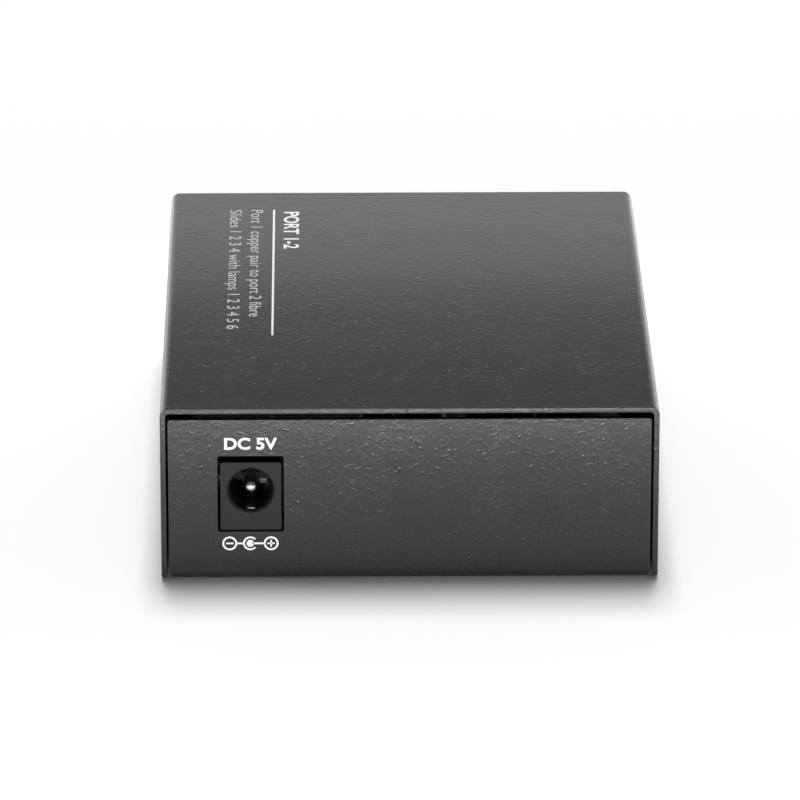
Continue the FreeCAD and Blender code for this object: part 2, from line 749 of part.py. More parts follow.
def dc_jack_switch_leaf():
    """Upright blade behind one recess, which signals an empty inlet."""
    x, y = jack_lead_spots()["switch"]
    half = jack_switch_width / 2
    return block(x - half, x + half, y - jack_leaf / 2, y + jack_leaf / 2,
                 board_bottom - lead_tail, jack_z - jack_bore + jack_recess - 0.2)


# ---------------------------------------------------------------- copper port
def plug_space(grow, y0, y1):
    """Room for the plug, its latch and the latch's key, stacked down from the top."""
    floor = board_top + plug_floor
    spaces = [(plug_width, floor, floor + plug_height),
              (latch_width, floor - latch_height, floor + past),
              (key_width, floor - latch_height - key_height, floor)]
    return joined([block(copper_x - wide / 2 - grow, copper_x + wide / 2 + grow, y0, y1,
                         low - grow, high + grow) for wide, low, high in spaces])


def copper_port_housing():
    """Moulded insert with the plug space, two pegs and a slot for each contact."""
    wall = shield_sheet + insert_gap
    half = copper_width / 2 - wall
    back = port_face - copper_depth + wall
    front = port_face - shield_sheet - insert_gap / 2
    top = board_top + copper_height - wall
    body = block(copper_x - half, copper_x + half, back, front, board_top, top)
    pegs = [rod(peg_radius, V(x, y, board_bottom - 0.8), V(x, y, board_top + past))
            for x, y in copper_peg_spots()]
    tools = [plug_space(0, port_face - plug_depth, front + past)]
    rear, rear_end, comb_end, comb_top = contact_room()
    ceiling = board_top + plug_floor + plug_height
    for x in contact_xs(copper_x, contact_count, contact_pitch):
        tools.append(block(x - contact_slot / 2, x + contact_slot / 2, rear, rear_end,
                           board_top - 0.1, comb_top))
        tools.append(block(x - contact_slot / 2, x + contact_slot / 2, rear, comb_end,
                           ceiling - 0.5, comb_top))
    return minus(joined([body] + pegs), tools)


def contact_room():
    """Slots in the housing: back, front of the upright part, front and top of the comb."""
    rows = [y for x, y in copper_lead_spots()]
    room = 2 * contact_sheet
    comb_top = board_top + plug_floor + plug_height + comb_height
    return min(rows) - room, max(rows) + room, port_face - comb_back, comb_top


def copper_port_contacts():
    """Eight sprung contacts: up from the board, forward over the comb and back down the plug."""
    top = contact_room()[3] - comb_gap
    nose = contact_room()[2] - contact_sheet - 0.1
    parts = []
    for x, y in copper_lead_spots():
        path = [(y - contact_sheet / 2, board_bottom - lead_tail), (y - contact_sheet / 2, top),
                (nose, top), (nose, top - contact_nose), (nose - contact_reach, top - contact_drop)]
        parts.append(folded(path[::-1], contact_sheet, None, "yz",
                            x - contact_width / 2, x + contact_width / 2))
    return group(parts)


def copper_peg_spots():
    y = port_face - copper_depth + peg_back
    return [(copper_x - peg_spread, y), (copper_x + peg_spread, y)]


def shield_lug_y():
    return port_face - copper_depth + shield_lug_back


def copper_port_shield():
    """Folded tin-plated shell, windowed for the plug, with lugs and sprung ground fingers."""
    half = copper_width / 2
    back = port_face - copper_depth
    top = board_top + copper_height
    outer = block(copper_x - half, copper_x + half, back, port_face, board_top, top)
    inner = block(copper_x - half + shield_sheet, copper_x + half - shield_sheet,
                  back + shield_sheet, port_face - shield_sheet, board_top - past, top - shield_sheet)
    shell = outer.cut(inner)
    tools = [plug_space(0.3, port_face - past, port_face + past)]
    pieces = []
    finger_y = port_face - shield_finger_back
    reach, half_finger = shield_finger_reach, shield_finger_width / 2
    for side in (-1, 1):
        wall = copper_x + side * half
        xs = sorted((wall, wall - side * shield_sheet))
        pieces.append(slab(shield_lug_y() - shield_lug / 2, shield_lug_y() + shield_lug / 2,
                           board_bottom - lead_tail, board_top + 0.5, [0.3, 0.3, 0, 0], "yz", *xs))
        for height in shield_finger_heights:
            z = board_top + height
            room = sorted((wall - side * 0.5, wall + side * 0.5))
            tools.append(block(*room, finger_y - reach, finger_y + reach, z - half_finger - 0.3,
                               z + half_finger + 0.3))
            pieces.append(side_finger(side, wall, finger_y, reach, z - half_finger,
                                      z + half_finger, shield_sheet, port_gap * 0.8))
    return joined([minus(shell, tools)] + pieces)


def bowed_path(level, bow, middle, half):
    """Side view of a sprung finger that leaves a wall, bows out and returns to the wall."""
    return [(middle - half - 0.3, level), (middle - half + 0.3, level), (middle, level + bow),
            (middle + half - 0.3, level), (middle + half + 0.3, level)]


def side_finger(side, wall, middle, half, low, high, sheet, bow):
    """Upright finger along Y on a side wall whose outside is at a given X."""
    path = [(v, u) for u, v in bowed_path(wall, side * bow, middle, half)]
    return folded(path if side > 0 else path[::-1], sheet, None, "xy", low, high)


def flat_finger(way, level, middle, half, x0, x1, sheet, bow):
    """Finger along Y on a floor (way -1) or a roof (way +1) whose outside is at a given Z."""
    path = bowed_path(level, way * bow, middle, half)
    return folded(path if way < 0 else path[::-1], sheet, None, "yz", x0, x1)


# ---------------------------------------------------------------- fibre slot
def sfp_cage():
    """Folded cage: closed tube with a sprung latch tab, cooling holes, pins and a lidded back."""
    half = cage_width / 2
    low = board_top + cage_lift
    high = low + cage_height
    back = port_face - cage_depth
    tube = slab(cage_x - half, cage_x + half, low, high, cage_round, "xz", back, port_face)
    inside = slab(cage_x - half + cage_sheet, cage_x + half - cage_sheet, low + cage_sheet,
                  high - cage_sheet, cage_round - cage_sheet, "xz", back + cage_sheet,
                  port_face + past)
    opening = edge_width / 2 + edge_room
    connector_end = back + edge_back + edge_depth + edge_tail + edge_room
    tools = [block(cage_x - opening, cage_x + opening, back - past, connector_end, low - past, low + past),
             block(cage_x - opening, cage_x + opening, back - past, back + past, low - past,
                   board_top + edge_height + 2 * edge_room)]
    vents_middle = back + cage_vent_start + (cage_vent_rows - 1) / 2 * cage_vent_pitch[1]
    for x in contact_xs(cage_x, cage_vent_columns, cage_vent_pitch[0]):
        for y in contact_xs(vents_middle, cage_vent_rows, cage_vent_pitch[1]):
            tools.append(prism(8, cage_vent, (x, y), high - past, high + past))
    for side in (-1, 1):
        x = cage_x + side * latch_tab
        tools.append(block(x - latch_tab_slit / 2, x + latch_tab_slit / 2,
                           port_face - latch_tab_length, port_face + past, low - past, low + past))
    wide, far, near = latch_eye
    eye = [(cage_x - wide / 2, port_face - far), (cage_x + wide / 2, port_face - far),
           (cage_x, port_face - near)]
    tools.append(extruded(eye, 0.2, "xy", low - past, low + past))
    pieces = [minus(tube.cut(inside), tools)]
    for x, y in cage_pin_spots():
        pieces.append(block(x - cage_sheet / 2, x + cage_sheet / 2, y - cage_pin_width / 2,
                            y + cage_pin_width / 2,
                            board_bottom - lead_tail, low + past))
    return joined(pieces)


def sfp_spring_collar():
    """Band of ground springs round the front of the cage, bowed out to the panel's window."""
    half = cage_width / 2 + collar_sheet
    low = board_top + cage_lift - collar_sheet
    high = low + cage_height + 2 * collar_sheet
    start, end = port_face - collar_depth, port_face - collar_setback
    band = slab(cage_x - half, cage_x + half, low, high, collar_round, "xz", start, end)
    cage = slab(cage_x - half + collar_sheet, cage_x + half - collar_sheet, low + collar_sheet,
                high - collar_sheet, cage_round, "xz", start - past, end + past)
    middle, reach = (start + end) / 2, (end - start) / 2 - 2 * collar_slit
    tools, pieces = [], []
    pitch, width = collar_side_fingers
    for side in (-1, 1):
        wall = cage_x + side * half
        xs = sorted((wall - side * 2 * collar_sheet, wall + side * 2 * collar_sheet))
        for z in contact_xs((low + high) / 2, collar_side_count, pitch):
            room = width / 2 + collar_slit
            tools.append(block(xs[0], xs[1], middle - reach, middle + reach, z - room, z + room))
            pieces.append(side_finger(side, wall, middle, reach, z - width / 2, z + width / 2,
                                      collar_sheet, collar_bow))
    pitch, width = collar_flat_fingers
    for level, way in ((low, -1), (high, 1)):
        for x in contact_xs(cage_x, collar_flat_count, pitch):
            room = width / 2 + collar_slit
            tools.append(block(x - room, x + room, middle - reach, middle + reach,
                               level - 2 * collar_sheet, level + 2 * collar_sheet))
            pieces.append(flat_finger(way, level, middle, reach, x - width / 2, x + width / 2,
                                      collar_sheet, collar_bow))
    return joined([minus(band.cut(cage), tools)] + pieces)


def edge_connector_back():
    return port_face - cage_depth + edge_back


def sfp_connector_housing():
    """Card-edge connector that the transceiver plugs into."""
    half = edge_width / 2
    back = edge_connector_back()
    front = back + edge_depth
    body = block(cage_x - half, cage_x + half, back, front, board_top, board_top + edge_height)
    top = board_top + edge_height
    step = block(cage_x - half, cage_x + half, back - past, back + edge_step[0],
                 top - edge_step[1], top + past)
    slot = block(cage_x - edge_slot_width / 2, cage_x + edge_slot_width / 2,
                 front - edge_slot_depth, front + past,
                 board_top + edge_slot[0], board_top + edge_slot[1])
    return minus(body, [step, slot])


def sfp_connector_contacts():
    """Two rows of solder tails, ahead of and behind the connector."""
    back = edge_connector_back()
    tails = []
    for wall, way in ((back, -1), (back + edge_depth, 1)):
        for x in contact_xs(cage_x, edge_contact_count, edge_pitch):
            path = [(wall + way * edge_tail, board_top), (wall, board_top),
                    (wall, board_top + edge_tail)]
            tails.append(folded(path if way < 0 else path[::-1], edge_tail_sheet, None, "yz",
                                x - edge_tail_width / 2, x + edge_tail_width / 2))
    return group(tails)


# ---------------------------------------------------------------- lamps
def lamp_block():
    """Holder behind the panel, bored through for six lamps."""
    half = lamp_column_count * lamp_pitch / 2 - 0.1
    block_front, block_back = lamp_face_y, lamp_face_y - lamp_block_depth
    body = block(lamp_x - half, lamp_x + half, block_back, block_front,
                 board_top, board_top + lamp_block_height)
    return minus(body, [prism(12, lamp_radius + lamp_bore_gap, spot, block_back - past,
                              block_front + past, "xz") for spot in lamp_spots()])


def status_lamps():
    """Six lamps, each a flat-fronted lens with two leads bent down to the board."""
    spots = lamp_lead_spots()
    parts = []
    for i, (x, z) in enumerate(lamp_spots()):
        rear = lamp_face_y - lamp_block_depth + lamp_rear
        lens = rod(lamp_radius, V(x, rear, z), V(x, port_face, z))
        leads = []
        for lead_x, lead_y, row in spots[2 * i:2 * i + 2]:
            path = [(rear, z + lamp_lead / 2), (lead_y - lamp_lead / 2, z + lamp_lead / 2),
                    (lead_y - lamp_lead / 2, board_bottom - lead_tail)]
            leads.append(folded(path, lamp_lead, None, "yz",
                                lead_x - lamp_lead / 2, lead_x + lamp_lead / 2))
        parts.append(joined([lens] + leads))
    return group(parts)


# ---------------------------------------------------------------- option switches
def dip_slot_ends():
    """Bottom and top of the slots in the switch body."""
    middle = board_top + dip_height / 2
    half = (slide_knob_height + slide_travel) / 2 + slide_clearance
    return middle - half, middle + half


def dip_switch_body():
    """Moulded body with a slot for each knob and a pocket behind it for the slide's foot."""
    back = dip_face_y - dip_depth
    body = block(dip_x - dip_half, dip_x + dip_half, back, dip_face_y,
                 board_top, board_top + dip_height)
    low, high = dip_slot_ends()
    middle = (low + high) / 2
    knob_half = slide_knob_width / 2 + slide_clearance
    foot_half = slide_foot_width / 2 + slide_clearance
    pocket_half = (slide_foot_height + slide_travel) / 2 + slide_clearance
    pocket_front = dip_face_y - dip_face
    pocket_back = pocket_front - slide_foot_depth - slide_clearance
    tools = []
    for x in contact_xs(dip_x, dip_count, dip_pitch):
        tools.append(block(x - knob_half, x + knob_half, pocket_front - 0.1, dip_face_y + past, low, high))
        tools.append(block(x - foot_half, x + foot_half, pocket_back, pocket_front,
                           middle - pocket_half, middle + pocket_half))
    return minus(body, tools)


def dip_slider(x):
    """Slide with a ribbed knob, at the lower end of its slot."""
    low, high = dip_slot_ends()
    middle = (low + high) / 2 - slide_travel / 2
    front = dip_face_y - dip_face - slide_clearance / 2
    foot = block(x - slide_foot_width / 2, x + slide_foot_width / 2, front - slide_foot_depth
                 + slide_clearance / 2, front, middle - slide_foot_height / 2,
                 middle + slide_foot_height / 2)
    knob = block(x - slide_knob_width / 2, x + slide_knob_width / 2, front - slide_clearance,
                 dip_face_y + slide_proud, middle - slide_knob_height / 2,
                 middle + slide_knob_height / 2)
    face = dip_face_y + slide_proud
    groove = block(x - slide_knob_width, x + slide_knob_width, face - slide_groove[0],
                   face + past, middle - slide_groove[1] / 2, middle + slide_groove[1] / 2)
    return joined([foot, knob]).cut(groove)


def dip_switch_pins():
    """Two rows of leads that leave the back of the switch and turn down through the board."""
    back = dip_face_y - dip_depth
    pins = []
    for x, y, row in dip_lead_spots():
        z = board_top + dip_lead_heights[0] + row * dip_lead_heights[1]
        down = y - dip_lead[1] / 2
        path = [(back, z), (down, z), (down, board_bottom - lead_tail)]
        pins.append(folded(path, dip_lead[1], None, "yz", x - dip_lead[0] / 2, x + dip_lead[0] / 2))
    return group(pins)


# ---------------------------------------------------------------- parts on the board
def gull_leads(centre, half, count, pitch, along_x, sides=(-1, 1)):
    """Bent leads down both long sides of a package, standing on the board."""
    x0, y0 = centre
    leads = []
    width = pitch * lead_share
    for side in sides:
        for place in contact_xs(0, count, pitch):
            path = [(half - lead_sheet, lead_rise), (half + lead_knee, lead_rise),
                    (half + lead_knee, 0), (half + lead_reach, 0)]
            path = [(side * u, board_top + v) for u, v in path]
            strip = folded(path if side > 0 else path[::-1], lead_sheet, None, "xz",
                           place - width / 2, place + width / 2)
            if along_x:
                strip.rotate(V(0, 0, 0), V(0, 0, 1), 90)
            strip.translate(V(x0, y0, 0))
            leads.append(strip)
    return leads


def pair_row():
    """Y of the resistors on the copper pairs, behind the transformer."""
    return magnetics_spot()[1] - magnetics_size[1] / 2 - 1.5 * part_gap


def chip_spot():
    """Beside the cage, so that the fast lines stay short, behind the resistors and a row of
    capacitors."""
    capacitors = pair_row() - film_part[0] / 2 - 2 * part_gap - chip_part[0] / 2
    return (cage_x + cage_width / 2 + chip_cage_gap + lead_reach + chip_body / 2,
            capacitors - chip_part_reach - chip_body / 2)


def converter_chip():
    """Square flat pack with leads on all four sides."""
    half = chip_body / 2
    x, y = chip_spot()
    body = slab(x - half, x + half, y - half, y + half, chip_corner, "xy",
                board_top + body_lift, board_top + body_lift + chip_height)
    leads = gull_leads(chip_spot(), half, chip_lead_count, chip_lead_pitch, False)
    leads += gull_leads(chip_spot(), half, chip_lead_count, chip_lead_pitch, True)
    return joined([body] + leads)


def magnetics_spot():
    """Between the copper port and the chip."""
    x = cage_x + cage_width / 2 + 1.5 * part_gap + lead_reach + magnetics_size[0] / 2
    return x, port_face - copper_depth - part_gap - magnetics_size[1] / 2


def lan_transformer():
    """Moulded transformer module with a row of leads on each long side."""
    body = centred(magnetics_spot(), magnetics_size, board_top + body_lift)
    leads = gull_leads(magnetics_spot(), magnetics_size[0] / 2, magnetics_lead_count,
                       coarse_pitch, False)
    return joined([body] + leads)


def beside_chip(width):
    """X of a part of a given width, next to the chip on the side away from the cage."""
    return chip_spot()[0] + chip_body / 2 + lead_reach + part_gap + width / 2


def flash_memory():
    spot = (beside_chip(memory_size[0] + 2 * lead_reach), chip_spot()[1] - memory_back)
    body = centred(spot, memory_size, board_top + body_lift)
    return joined([body] + gull_leads(spot, memory_size[0] / 2, 4, coarse_pitch, False))


def supply_spots():
    """Places of the supply's parts, in order from the inlet towards the middle of the board."""
    base_half = can_radius + can_base
    can_x = jack_x + jack_width / 2 + 2 * part_gap + base_half
    diode_x = can_x + base_half + 1.5 * part_gap + diode_size[0] / 2
    inductor_x = diode_x + regulator_size[0] / 2 + 2 * part_gap + inductor_size[0] / 2
    far_can_x = inductor_x + inductor_size[0] / 2 + 3 * part_gap + base_half
    return {
        "fuse": (diode_x, fuse_row - board_end),
        "diode": (diode_x, diode_row - board_end),
        "regulator": (diode_x, regulator_row - board_end),
        "inductor": (inductor_x, regulator_row - board_end),
        "cans": [(x, row - board_end) for x, row in zip((can_x, can_x, far_can_x), can_rows)],
    }


def voltage_regulator():
    """Small power package: three leads on one side and a wide tab on the other."""
    x, y = supply_spots()["regulator"]
    body = centred((x, y), regulator_size, board_top + body_lift)
    side = regulator_size[1] / 2
    leads = gull_leads((x, y), side, regulator_lead_count, regulator_lead_pitch, True, (-1,))
    wide, reach, sheet = regulator_tab
    tab = block(x - wide / 2, x + wide / 2, y + side - sheet, y + side + reach,
                board_top, board_top + sheet)
    return joined([body, tab] + leads)


def crystal():
    """Pressed can with rounded ends on a plastic foot."""
    wide, deep, high = crystal_size
    rim, foot_height = crystal_foot
    x, y = beside_chip(wide + 2 * rim), chip_spot()[1] + crystal_ahead
    can = slab(x - wide / 2, x + wide / 2, y - deep / 2, y + deep / 2, wide * 0.49, "xy",
               board_top + foot_height, board_top + high)
    foot = slab(x - wide / 2 - rim, x + wide / 2 + rim, y - deep / 2 - rim, y + deep / 2 + rim,
                rim, "xy", board_top, board_top + foot_height)
    return joined([can, foot])


def power_inductor():
    x, y = supply_spots()["inductor"]
    body = centred((x, y), inductor_size, board_top)
    uprights = [e for e in body.Edges if abs(e.tangentAt(e.FirstParameter).z) > 0.9]
    body = body.makeFillet(inductor_corner, uprights)
    top = board_top + inductor_size[2]
    radius, sunk = inductor_recess
    return body.cut(rod(radius, V(x, y, top - sunk), V(x, y, top + past)))


def power_capacitors():
    """Electrolytic cans on chamfered plastic bases."""
    cans = []
    for x, y in supply_spots()["cans"]:
        side = can_radius + can_base
        cut = side - can_chamfer
        base = extruded([(x - side, y - side), (x + cut, y - side), (x + side, y - cut),
                         (x + side, y + cut), (x + cut, y + side), (x - side, y + side)],
                        0, "xy", board_top, board_top + can_base_height)
        top = board_top + can_height
        can = rod(can_radius, V(x, y, board_top + can_base_height), V(x, y, top))
        cans.append(joined([base, can]))
    return group(cans)


def ended_block(spot, size):
    """Moulded body with a wrapped metal end at each side."""
    body = centred(spot, size, board_top + body_lift)
    x, y = spot
    wide, deep, high = size
    length, share = clip_end
    ends = [centred((x + side * (wide / 2 + body_lift), y), (length, deep * share, high * share),
                    board_top) for side in (-1, 1)]
    return joined([body] + ends)


def protection_diode():
    return ended_block(supply_spots()["diode"], diode_size)


def input_fuse():
    return ended_block(supply_spots()["fuse"], fuse_size)


def small_parts(spots, size):
    """Group of chip parts, lengthwise along X or Y, with slightly thicker metal ends."""
    parts = []
    for x, y, turned in spots:
        wide, deep, high = size
        body = centred((x, y), (wide, deep, high), board_top + end_proud)
        cap = (end_cap, deep + 2 * end_proud, high + 2 * end_proud)
        ends = [centred((x + side * (wide - end_cap) / 2, y), cap, board_top) for side in (-1, 1)]
        part = joined([body] + ends)
        if turned:
            part.rotate(V(x, y, 0), V(0, 0, 1), 90)
        parts.append(part)
    return group(parts)


def chip_capacitors():
    """Bypass capacitors round the chip, its supply and the fibre slot."""
    x, y = chip_spot()
    reach = chip_body / 2 + chip_part_reach
    spots = [(place, y + side * reach, True) for side in (-1, 1)
             for place in contact_xs(x, 5, chip_part_pitch)]
    spots += [(place, y - reach - chip_part_reach, True)
              for place in contact_xs(x, 3, chip_part_pitch)]
    spots += [(place, port_face - cage_depth - 3 * part_gap, True)
              for place in contact_xs(cage_x, 4, chip_part_pitch)]
    return small_parts(spots, chip_part)


def chip_resistors():
    """Series resistors for the lamps and switches, and a line for the copper pairs."""
    rows = [(dip_x, 5, dip_face_y - dip_depth - row_back),
            (lamp_x, 4, lamp_face_y - lamp_block_depth - row_back),
            (magnetics_spot()[0], 5, pair_row())]
    spots = [(place, y, True) for middle, count, y in rows
             for place in contact_xs(middle, count, row_pitch)]
    return small_parts(spots, film_part)


# ---------------------------------------------------------------- files
def main():
    nodes = [top_cover, base_chassis, cover_screws, pcb_standoffs, pcb_screws, circuit_board,
             dc_jack_housing, dc_jack_centre_pin, dc_jack_sleeve_leaf, dc_jack_switch_leaf,
             copper_port_housing, copper_port_shield, copper_port_contacts, lan_transformer,
             sfp_cage, sfp_spring_collar, sfp_connector_housing, sfp_connector_contacts,
             lamp_block, status_lamps, dip_switch_body, dip_switch_pins, converter_chip,
             flash_memory, crystal, voltage_regulator, power_inductor, power_capacitors,
             protection_diode, input_fuse, chip_capacitors, chip_resistors]
    os.makedirs("parts", exist_ok=True)
    for build in nodes:
        build().exportStep("parts/%s.step" % build.__name__)
    for i, x in enumerate(contact_xs(dip_x, dip_count, dip_pitch)):
        dip_slider(x).exportStep("parts/dip_slider_%d.step" % (dip_count - i))


if __name__ == "__main__":
    main()
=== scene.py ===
"""Finishes of a fibre media converter: powder-coated case, white print, ports and board.

Metres, +Z up, the origin under the middle of the case. The 5 V inlet faces -Y and the ports
face +Y. The modelled pieces come from the frame; this file softens the folded sheets, the
mouldings and the screw heads, adds the print, gives every piece its material and sets the stage.
"""
import bmesh
import bpy
import math
from bpy.props import FloatProperty, FloatVectorProperty, PointerProperty, StringProperty
from bpy.types import Operator, Panel, PropertyGroup
from mathutils import Matrix, Vector


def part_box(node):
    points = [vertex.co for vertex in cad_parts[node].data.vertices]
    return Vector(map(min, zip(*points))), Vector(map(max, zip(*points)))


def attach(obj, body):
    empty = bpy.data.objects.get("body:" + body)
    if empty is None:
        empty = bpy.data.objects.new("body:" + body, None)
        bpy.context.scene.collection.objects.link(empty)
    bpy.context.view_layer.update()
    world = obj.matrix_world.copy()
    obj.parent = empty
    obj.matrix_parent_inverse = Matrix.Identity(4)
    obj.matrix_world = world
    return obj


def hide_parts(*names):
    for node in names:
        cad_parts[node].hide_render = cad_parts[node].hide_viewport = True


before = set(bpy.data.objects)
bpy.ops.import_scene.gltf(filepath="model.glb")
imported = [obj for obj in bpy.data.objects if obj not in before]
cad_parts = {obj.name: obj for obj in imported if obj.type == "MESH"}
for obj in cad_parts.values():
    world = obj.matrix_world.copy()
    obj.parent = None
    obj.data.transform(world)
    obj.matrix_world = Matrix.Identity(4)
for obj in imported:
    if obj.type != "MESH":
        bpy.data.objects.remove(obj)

bl_info = {
    "name": "Fibre converter finishes",
    "version": (1, 0, 0),
    "blender": (4, 5, 0),
    "location": "View3D > Sidebar > Converter",
    "description": "Finishes, print and studio stage for a fibre media converter",
    "category": "Object",
}

MM = 0.001
CASE_BODY = "converter"
SLIDES = 4                   # option slides, each with its own body
WELD = 0.001 * MM            # vertices of a modelled copy closer than this become one
FINE_WELD = 0.0005 * MM      # the same for ink
FLAT = math.radians(0.5)     # faces this close to level are one face
CREASE = math.radians(32)    # edges that turn more than this are rounded


# ---------------------------------------------------------------- settings
def length(name, description, millimetres):
    """A length that a user may change, given in millimetres and kept in metres."""
    return FloatProperty(name=name, description=description, default=millimetres * MM,
                         min=0.0, unit="LENGTH", precision=5)


def tint(name, description, grey_or_rgb):
    """A colour that a user may change; one number makes a grey."""
    rgb = grey_or_rgb if isinstance(grey_or_rgb, tuple) else (grey_or_rgb,) * 3
    return FloatVectorProperty(name=name, description=description, subtype="COLOR",
                               size=3, min=0.0, max=1.0, default=rgb)


class CoatSettings(PropertyGroup):
    """Powder coat and the softened edges of the folded sheets."""
    colour: tint("Coat colour", "Colour of the powder coat", (0.028, 0.028, 0.0285))
    edge: length("Edge softness", "Radius that the coat leaves on sheared edges", 0.12)
    grain: length("Grain", "Size of the coat's fine grain", 0.35)
    wrinkle: length("Wrinkles", "Size of the short wrinkles", 0.90)
    speck: length("Specks", "Size of the raised specks in the coat", 0.60)
    spacing: length("Speck spacing", "Size of the cells that each may hold a speck", 1.35)
    relief: length("Relief", "Height of the specks", 0.030)
    shine: FloatProperty(name="Shine", description="Strength of the coat's reflections",
                         default=0.25, min=0.0, max=1.0)


class PrintSettings(PropertyGroup):
    """White and grey screen print."""
    white: tint("White ink", "Colour of the bold print", 0.95)
    grey: tint("Grey ink", "Colour of the thin print on top", 0.62)
    thickness: length("Ink thickness", "How far the ink stands out", 0.02)
    title: StringProperty(name="Title", description="Bold words beside the rule",
                          default="PORT 1-2")
    upper_row: StringProperty(name="Upper row", description="First row of thin print",
                              default="Port 1 copper pair to port 2 fibre")
    lower_row: StringProperty(name="Lower row", description="Second row of thin print",
                              default="Slides 1 2 3 4 with lamps 1 2 3 4 5 6")
    supply: StringProperty(name="Supply", description="Words above the inlet", default="DC 5V")
    rule_start: length("Rule start", "Distance of the rule's start behind the middle", 38.8)
    rule_end: length("Rule end", "Distance of the rule's end in front of the middle", 16.8)
    rule_aside: length("Rule aside", "Distance of the rule from the middle line", 19.48)
    rule_width: length("Rule width", "Width of the rule", 0.30)
    supply_high: length("Supply height", "Height of the supply words' foot above the floor", 19.73)
    supply_aside: length("Supply aside", "Start of the supply words beside the inlet's middle", 3.72)
    symbol_high: length("Symbol height", "Height of the polarity symbol above the floor", 5.54)
    symbol_aside: length("Symbol aside", "Place of the symbol beside the inlet's middle", 0.11)
    symbol_step: length("Symbol step", "Distance between the rings of the symbol", 2.93)
    ring: length("Ring", "Outer radius of the symbol's rings", 1.05)
    ring_dot: length("Dot", "Radius of the symbol's dot", 0.53)
    stroke: length("Stroke", "Width of the symbol's lines", 0.27)


class PartSettings(PropertyGroup):
    """Colours of the plastics, metals and the board."""
    black: tint("Black plastic", "Mouldings of the ports and the inlet", (0.016, 0.016, 0.017))
    red: tint("Switch body", "Moulding of the option switches", (0.50, 0.035, 0.025))
    white: tint("Slides", "Knobs of the option switches", (0.80, 0.79, 0.74))
    nickel: tint("Nickel", "Plating of the cage, the pin and the strips", (0.72, 0.72, 0.71))
    tin: tint("Tin", "Plating of leads and shells", (0.60, 0.60, 0.59))
    zinc: tint("Zinc", "Plating of standoffs and board screws", (0.62, 0.63, 0.64))
    gold: tint("Gold", "Flash on the contacts", (0.83, 0.60, 0.24))
    mask: tint("Solder mask", "Colour of the board", (0.012, 0.10, 0.045))
    lamp: tint("Lamps", "Tint of the link lenses", (0.05, 0.30, 0.05))
    lamp_amber: tint("Amber lamps", "Tint of the speed lenses", (0.55, 0.24, 0.02))
    radius: length("Small radius", "Radius on the edges of mouldings and turned parts", 0.08)


class StageSettings(PropertyGroup):
    """Floor, lights and camera."""
    floor: tint("Floor", "Colour of the floor", 0.80)
    floor_seen: tint("Floor as seen", "Colour of the floor towards the camera", 1.0)
    ceiling: FloatProperty(name="Ceiling", description="Level of the soft light from above",
                           default=0.14, min=0.0)
    horizon: FloatProperty(name="Horizon", description="Where the white all round starts to fall",
                           default=math.radians(0.5), subtype="ANGLE")
    horizon_top: FloatProperty(name="Horizon top", description="Where the dim ceiling starts",
                               default=math.radians(3.0), subtype="ANGLE")
    light_height: FloatProperty(name="Light height", description="Height of the lights above",
                                default=3.0, unit="LENGTH")
    strip_light: FloatProperty(name="Strip light", description="Power of the narrow light above",
                               default=78.0, min=0.0, unit="POWER")
    wide_light: FloatProperty(name="Wide light", description="Power of the wide light above",
                              default=13.0, min=0.0, unit="POWER")
    back_card: FloatProperty(name="Back card", description="Power of the low card behind",
                             default=0.045, min=0.0, unit="POWER")
    front_card: FloatProperty(name="Front card", description="Power of the low card in front",
                              default=0.027, min=0.0, unit="POWER")
    azimuth: FloatProperty(name="Azimuth", description="Camera's turn about the case",
                           default=math.radians(-0.69), subtype="ANGLE")
    elevation: FloatProperty(name="Elevation", description="Camera's height above the floor",
                             default=math.radians(20.563), subtype="ANGLE")
    distance: FloatProperty(name="Distance", description="Camera to the point it looks at",
                            default=1.0372, unit="LENGTH")
    lens: FloatProperty(name="Lens", description="Focal length", default=316.0, unit="CAMERA")
    look_height: length("Look height", "Height of the point that the camera looks at", 9.64)
    look_aside: FloatProperty(name="Look aside", description="Place of that point across the case",
                              default=-0.81 * MM, unit="LENGTH", precision=5)


# ---------------------------------------------------------------- material expressions
class Link:
    """A socket in a material, with arithmetic that adds the nodes it needs."""

    def __init__(self, recipe, socket):
        self.recipe = recipe
        self.socket = socket

    def maths(self, operation, *values):
        return self.recipe.node("ShaderNodeMath", {"operation": operation},
                                dict(enumerate(values)))

    def __add__(self, other):
        return self.maths("ADD", self, other)

    def __sub__(self, other):
        return self.maths("SUBTRACT", self, other)

    def __rsub__(self, other):
        return self.maths("SUBTRACT", other, self)

    def __mul__(self, other):
        return self.maths("MULTIPLY", self, other)

    def __truediv__(self, other):
        return self.maths("DIVIDE", self, other)

    def __rtruediv__(self, other):
        return self.maths("DIVIDE", other, self)

    def __gt__(self, other):
        return self.maths("GREATER_THAN", self, other)

    def __lt__(self, other):
        return self.maths("LESS_THAN", self, other)

    __radd__ = __add__
    __rmul__ = __mul__

    def least(self, other):
        return self.maths("MINIMUM", self, other)

    def most(self, other):
        return self.maths("MAXIMUM", self, other)

    def size(self):
        return self.maths("ABSOLUTE", self)

    def rising(self, low, high):
        """0 below low, 1 above high and smooth between."""
        return self.recipe.node("ShaderNodeMapRange", {"interpolation_type": "SMOOTHSTEP"},
                                {"Value": self, "From Min": low, "From Max": high})


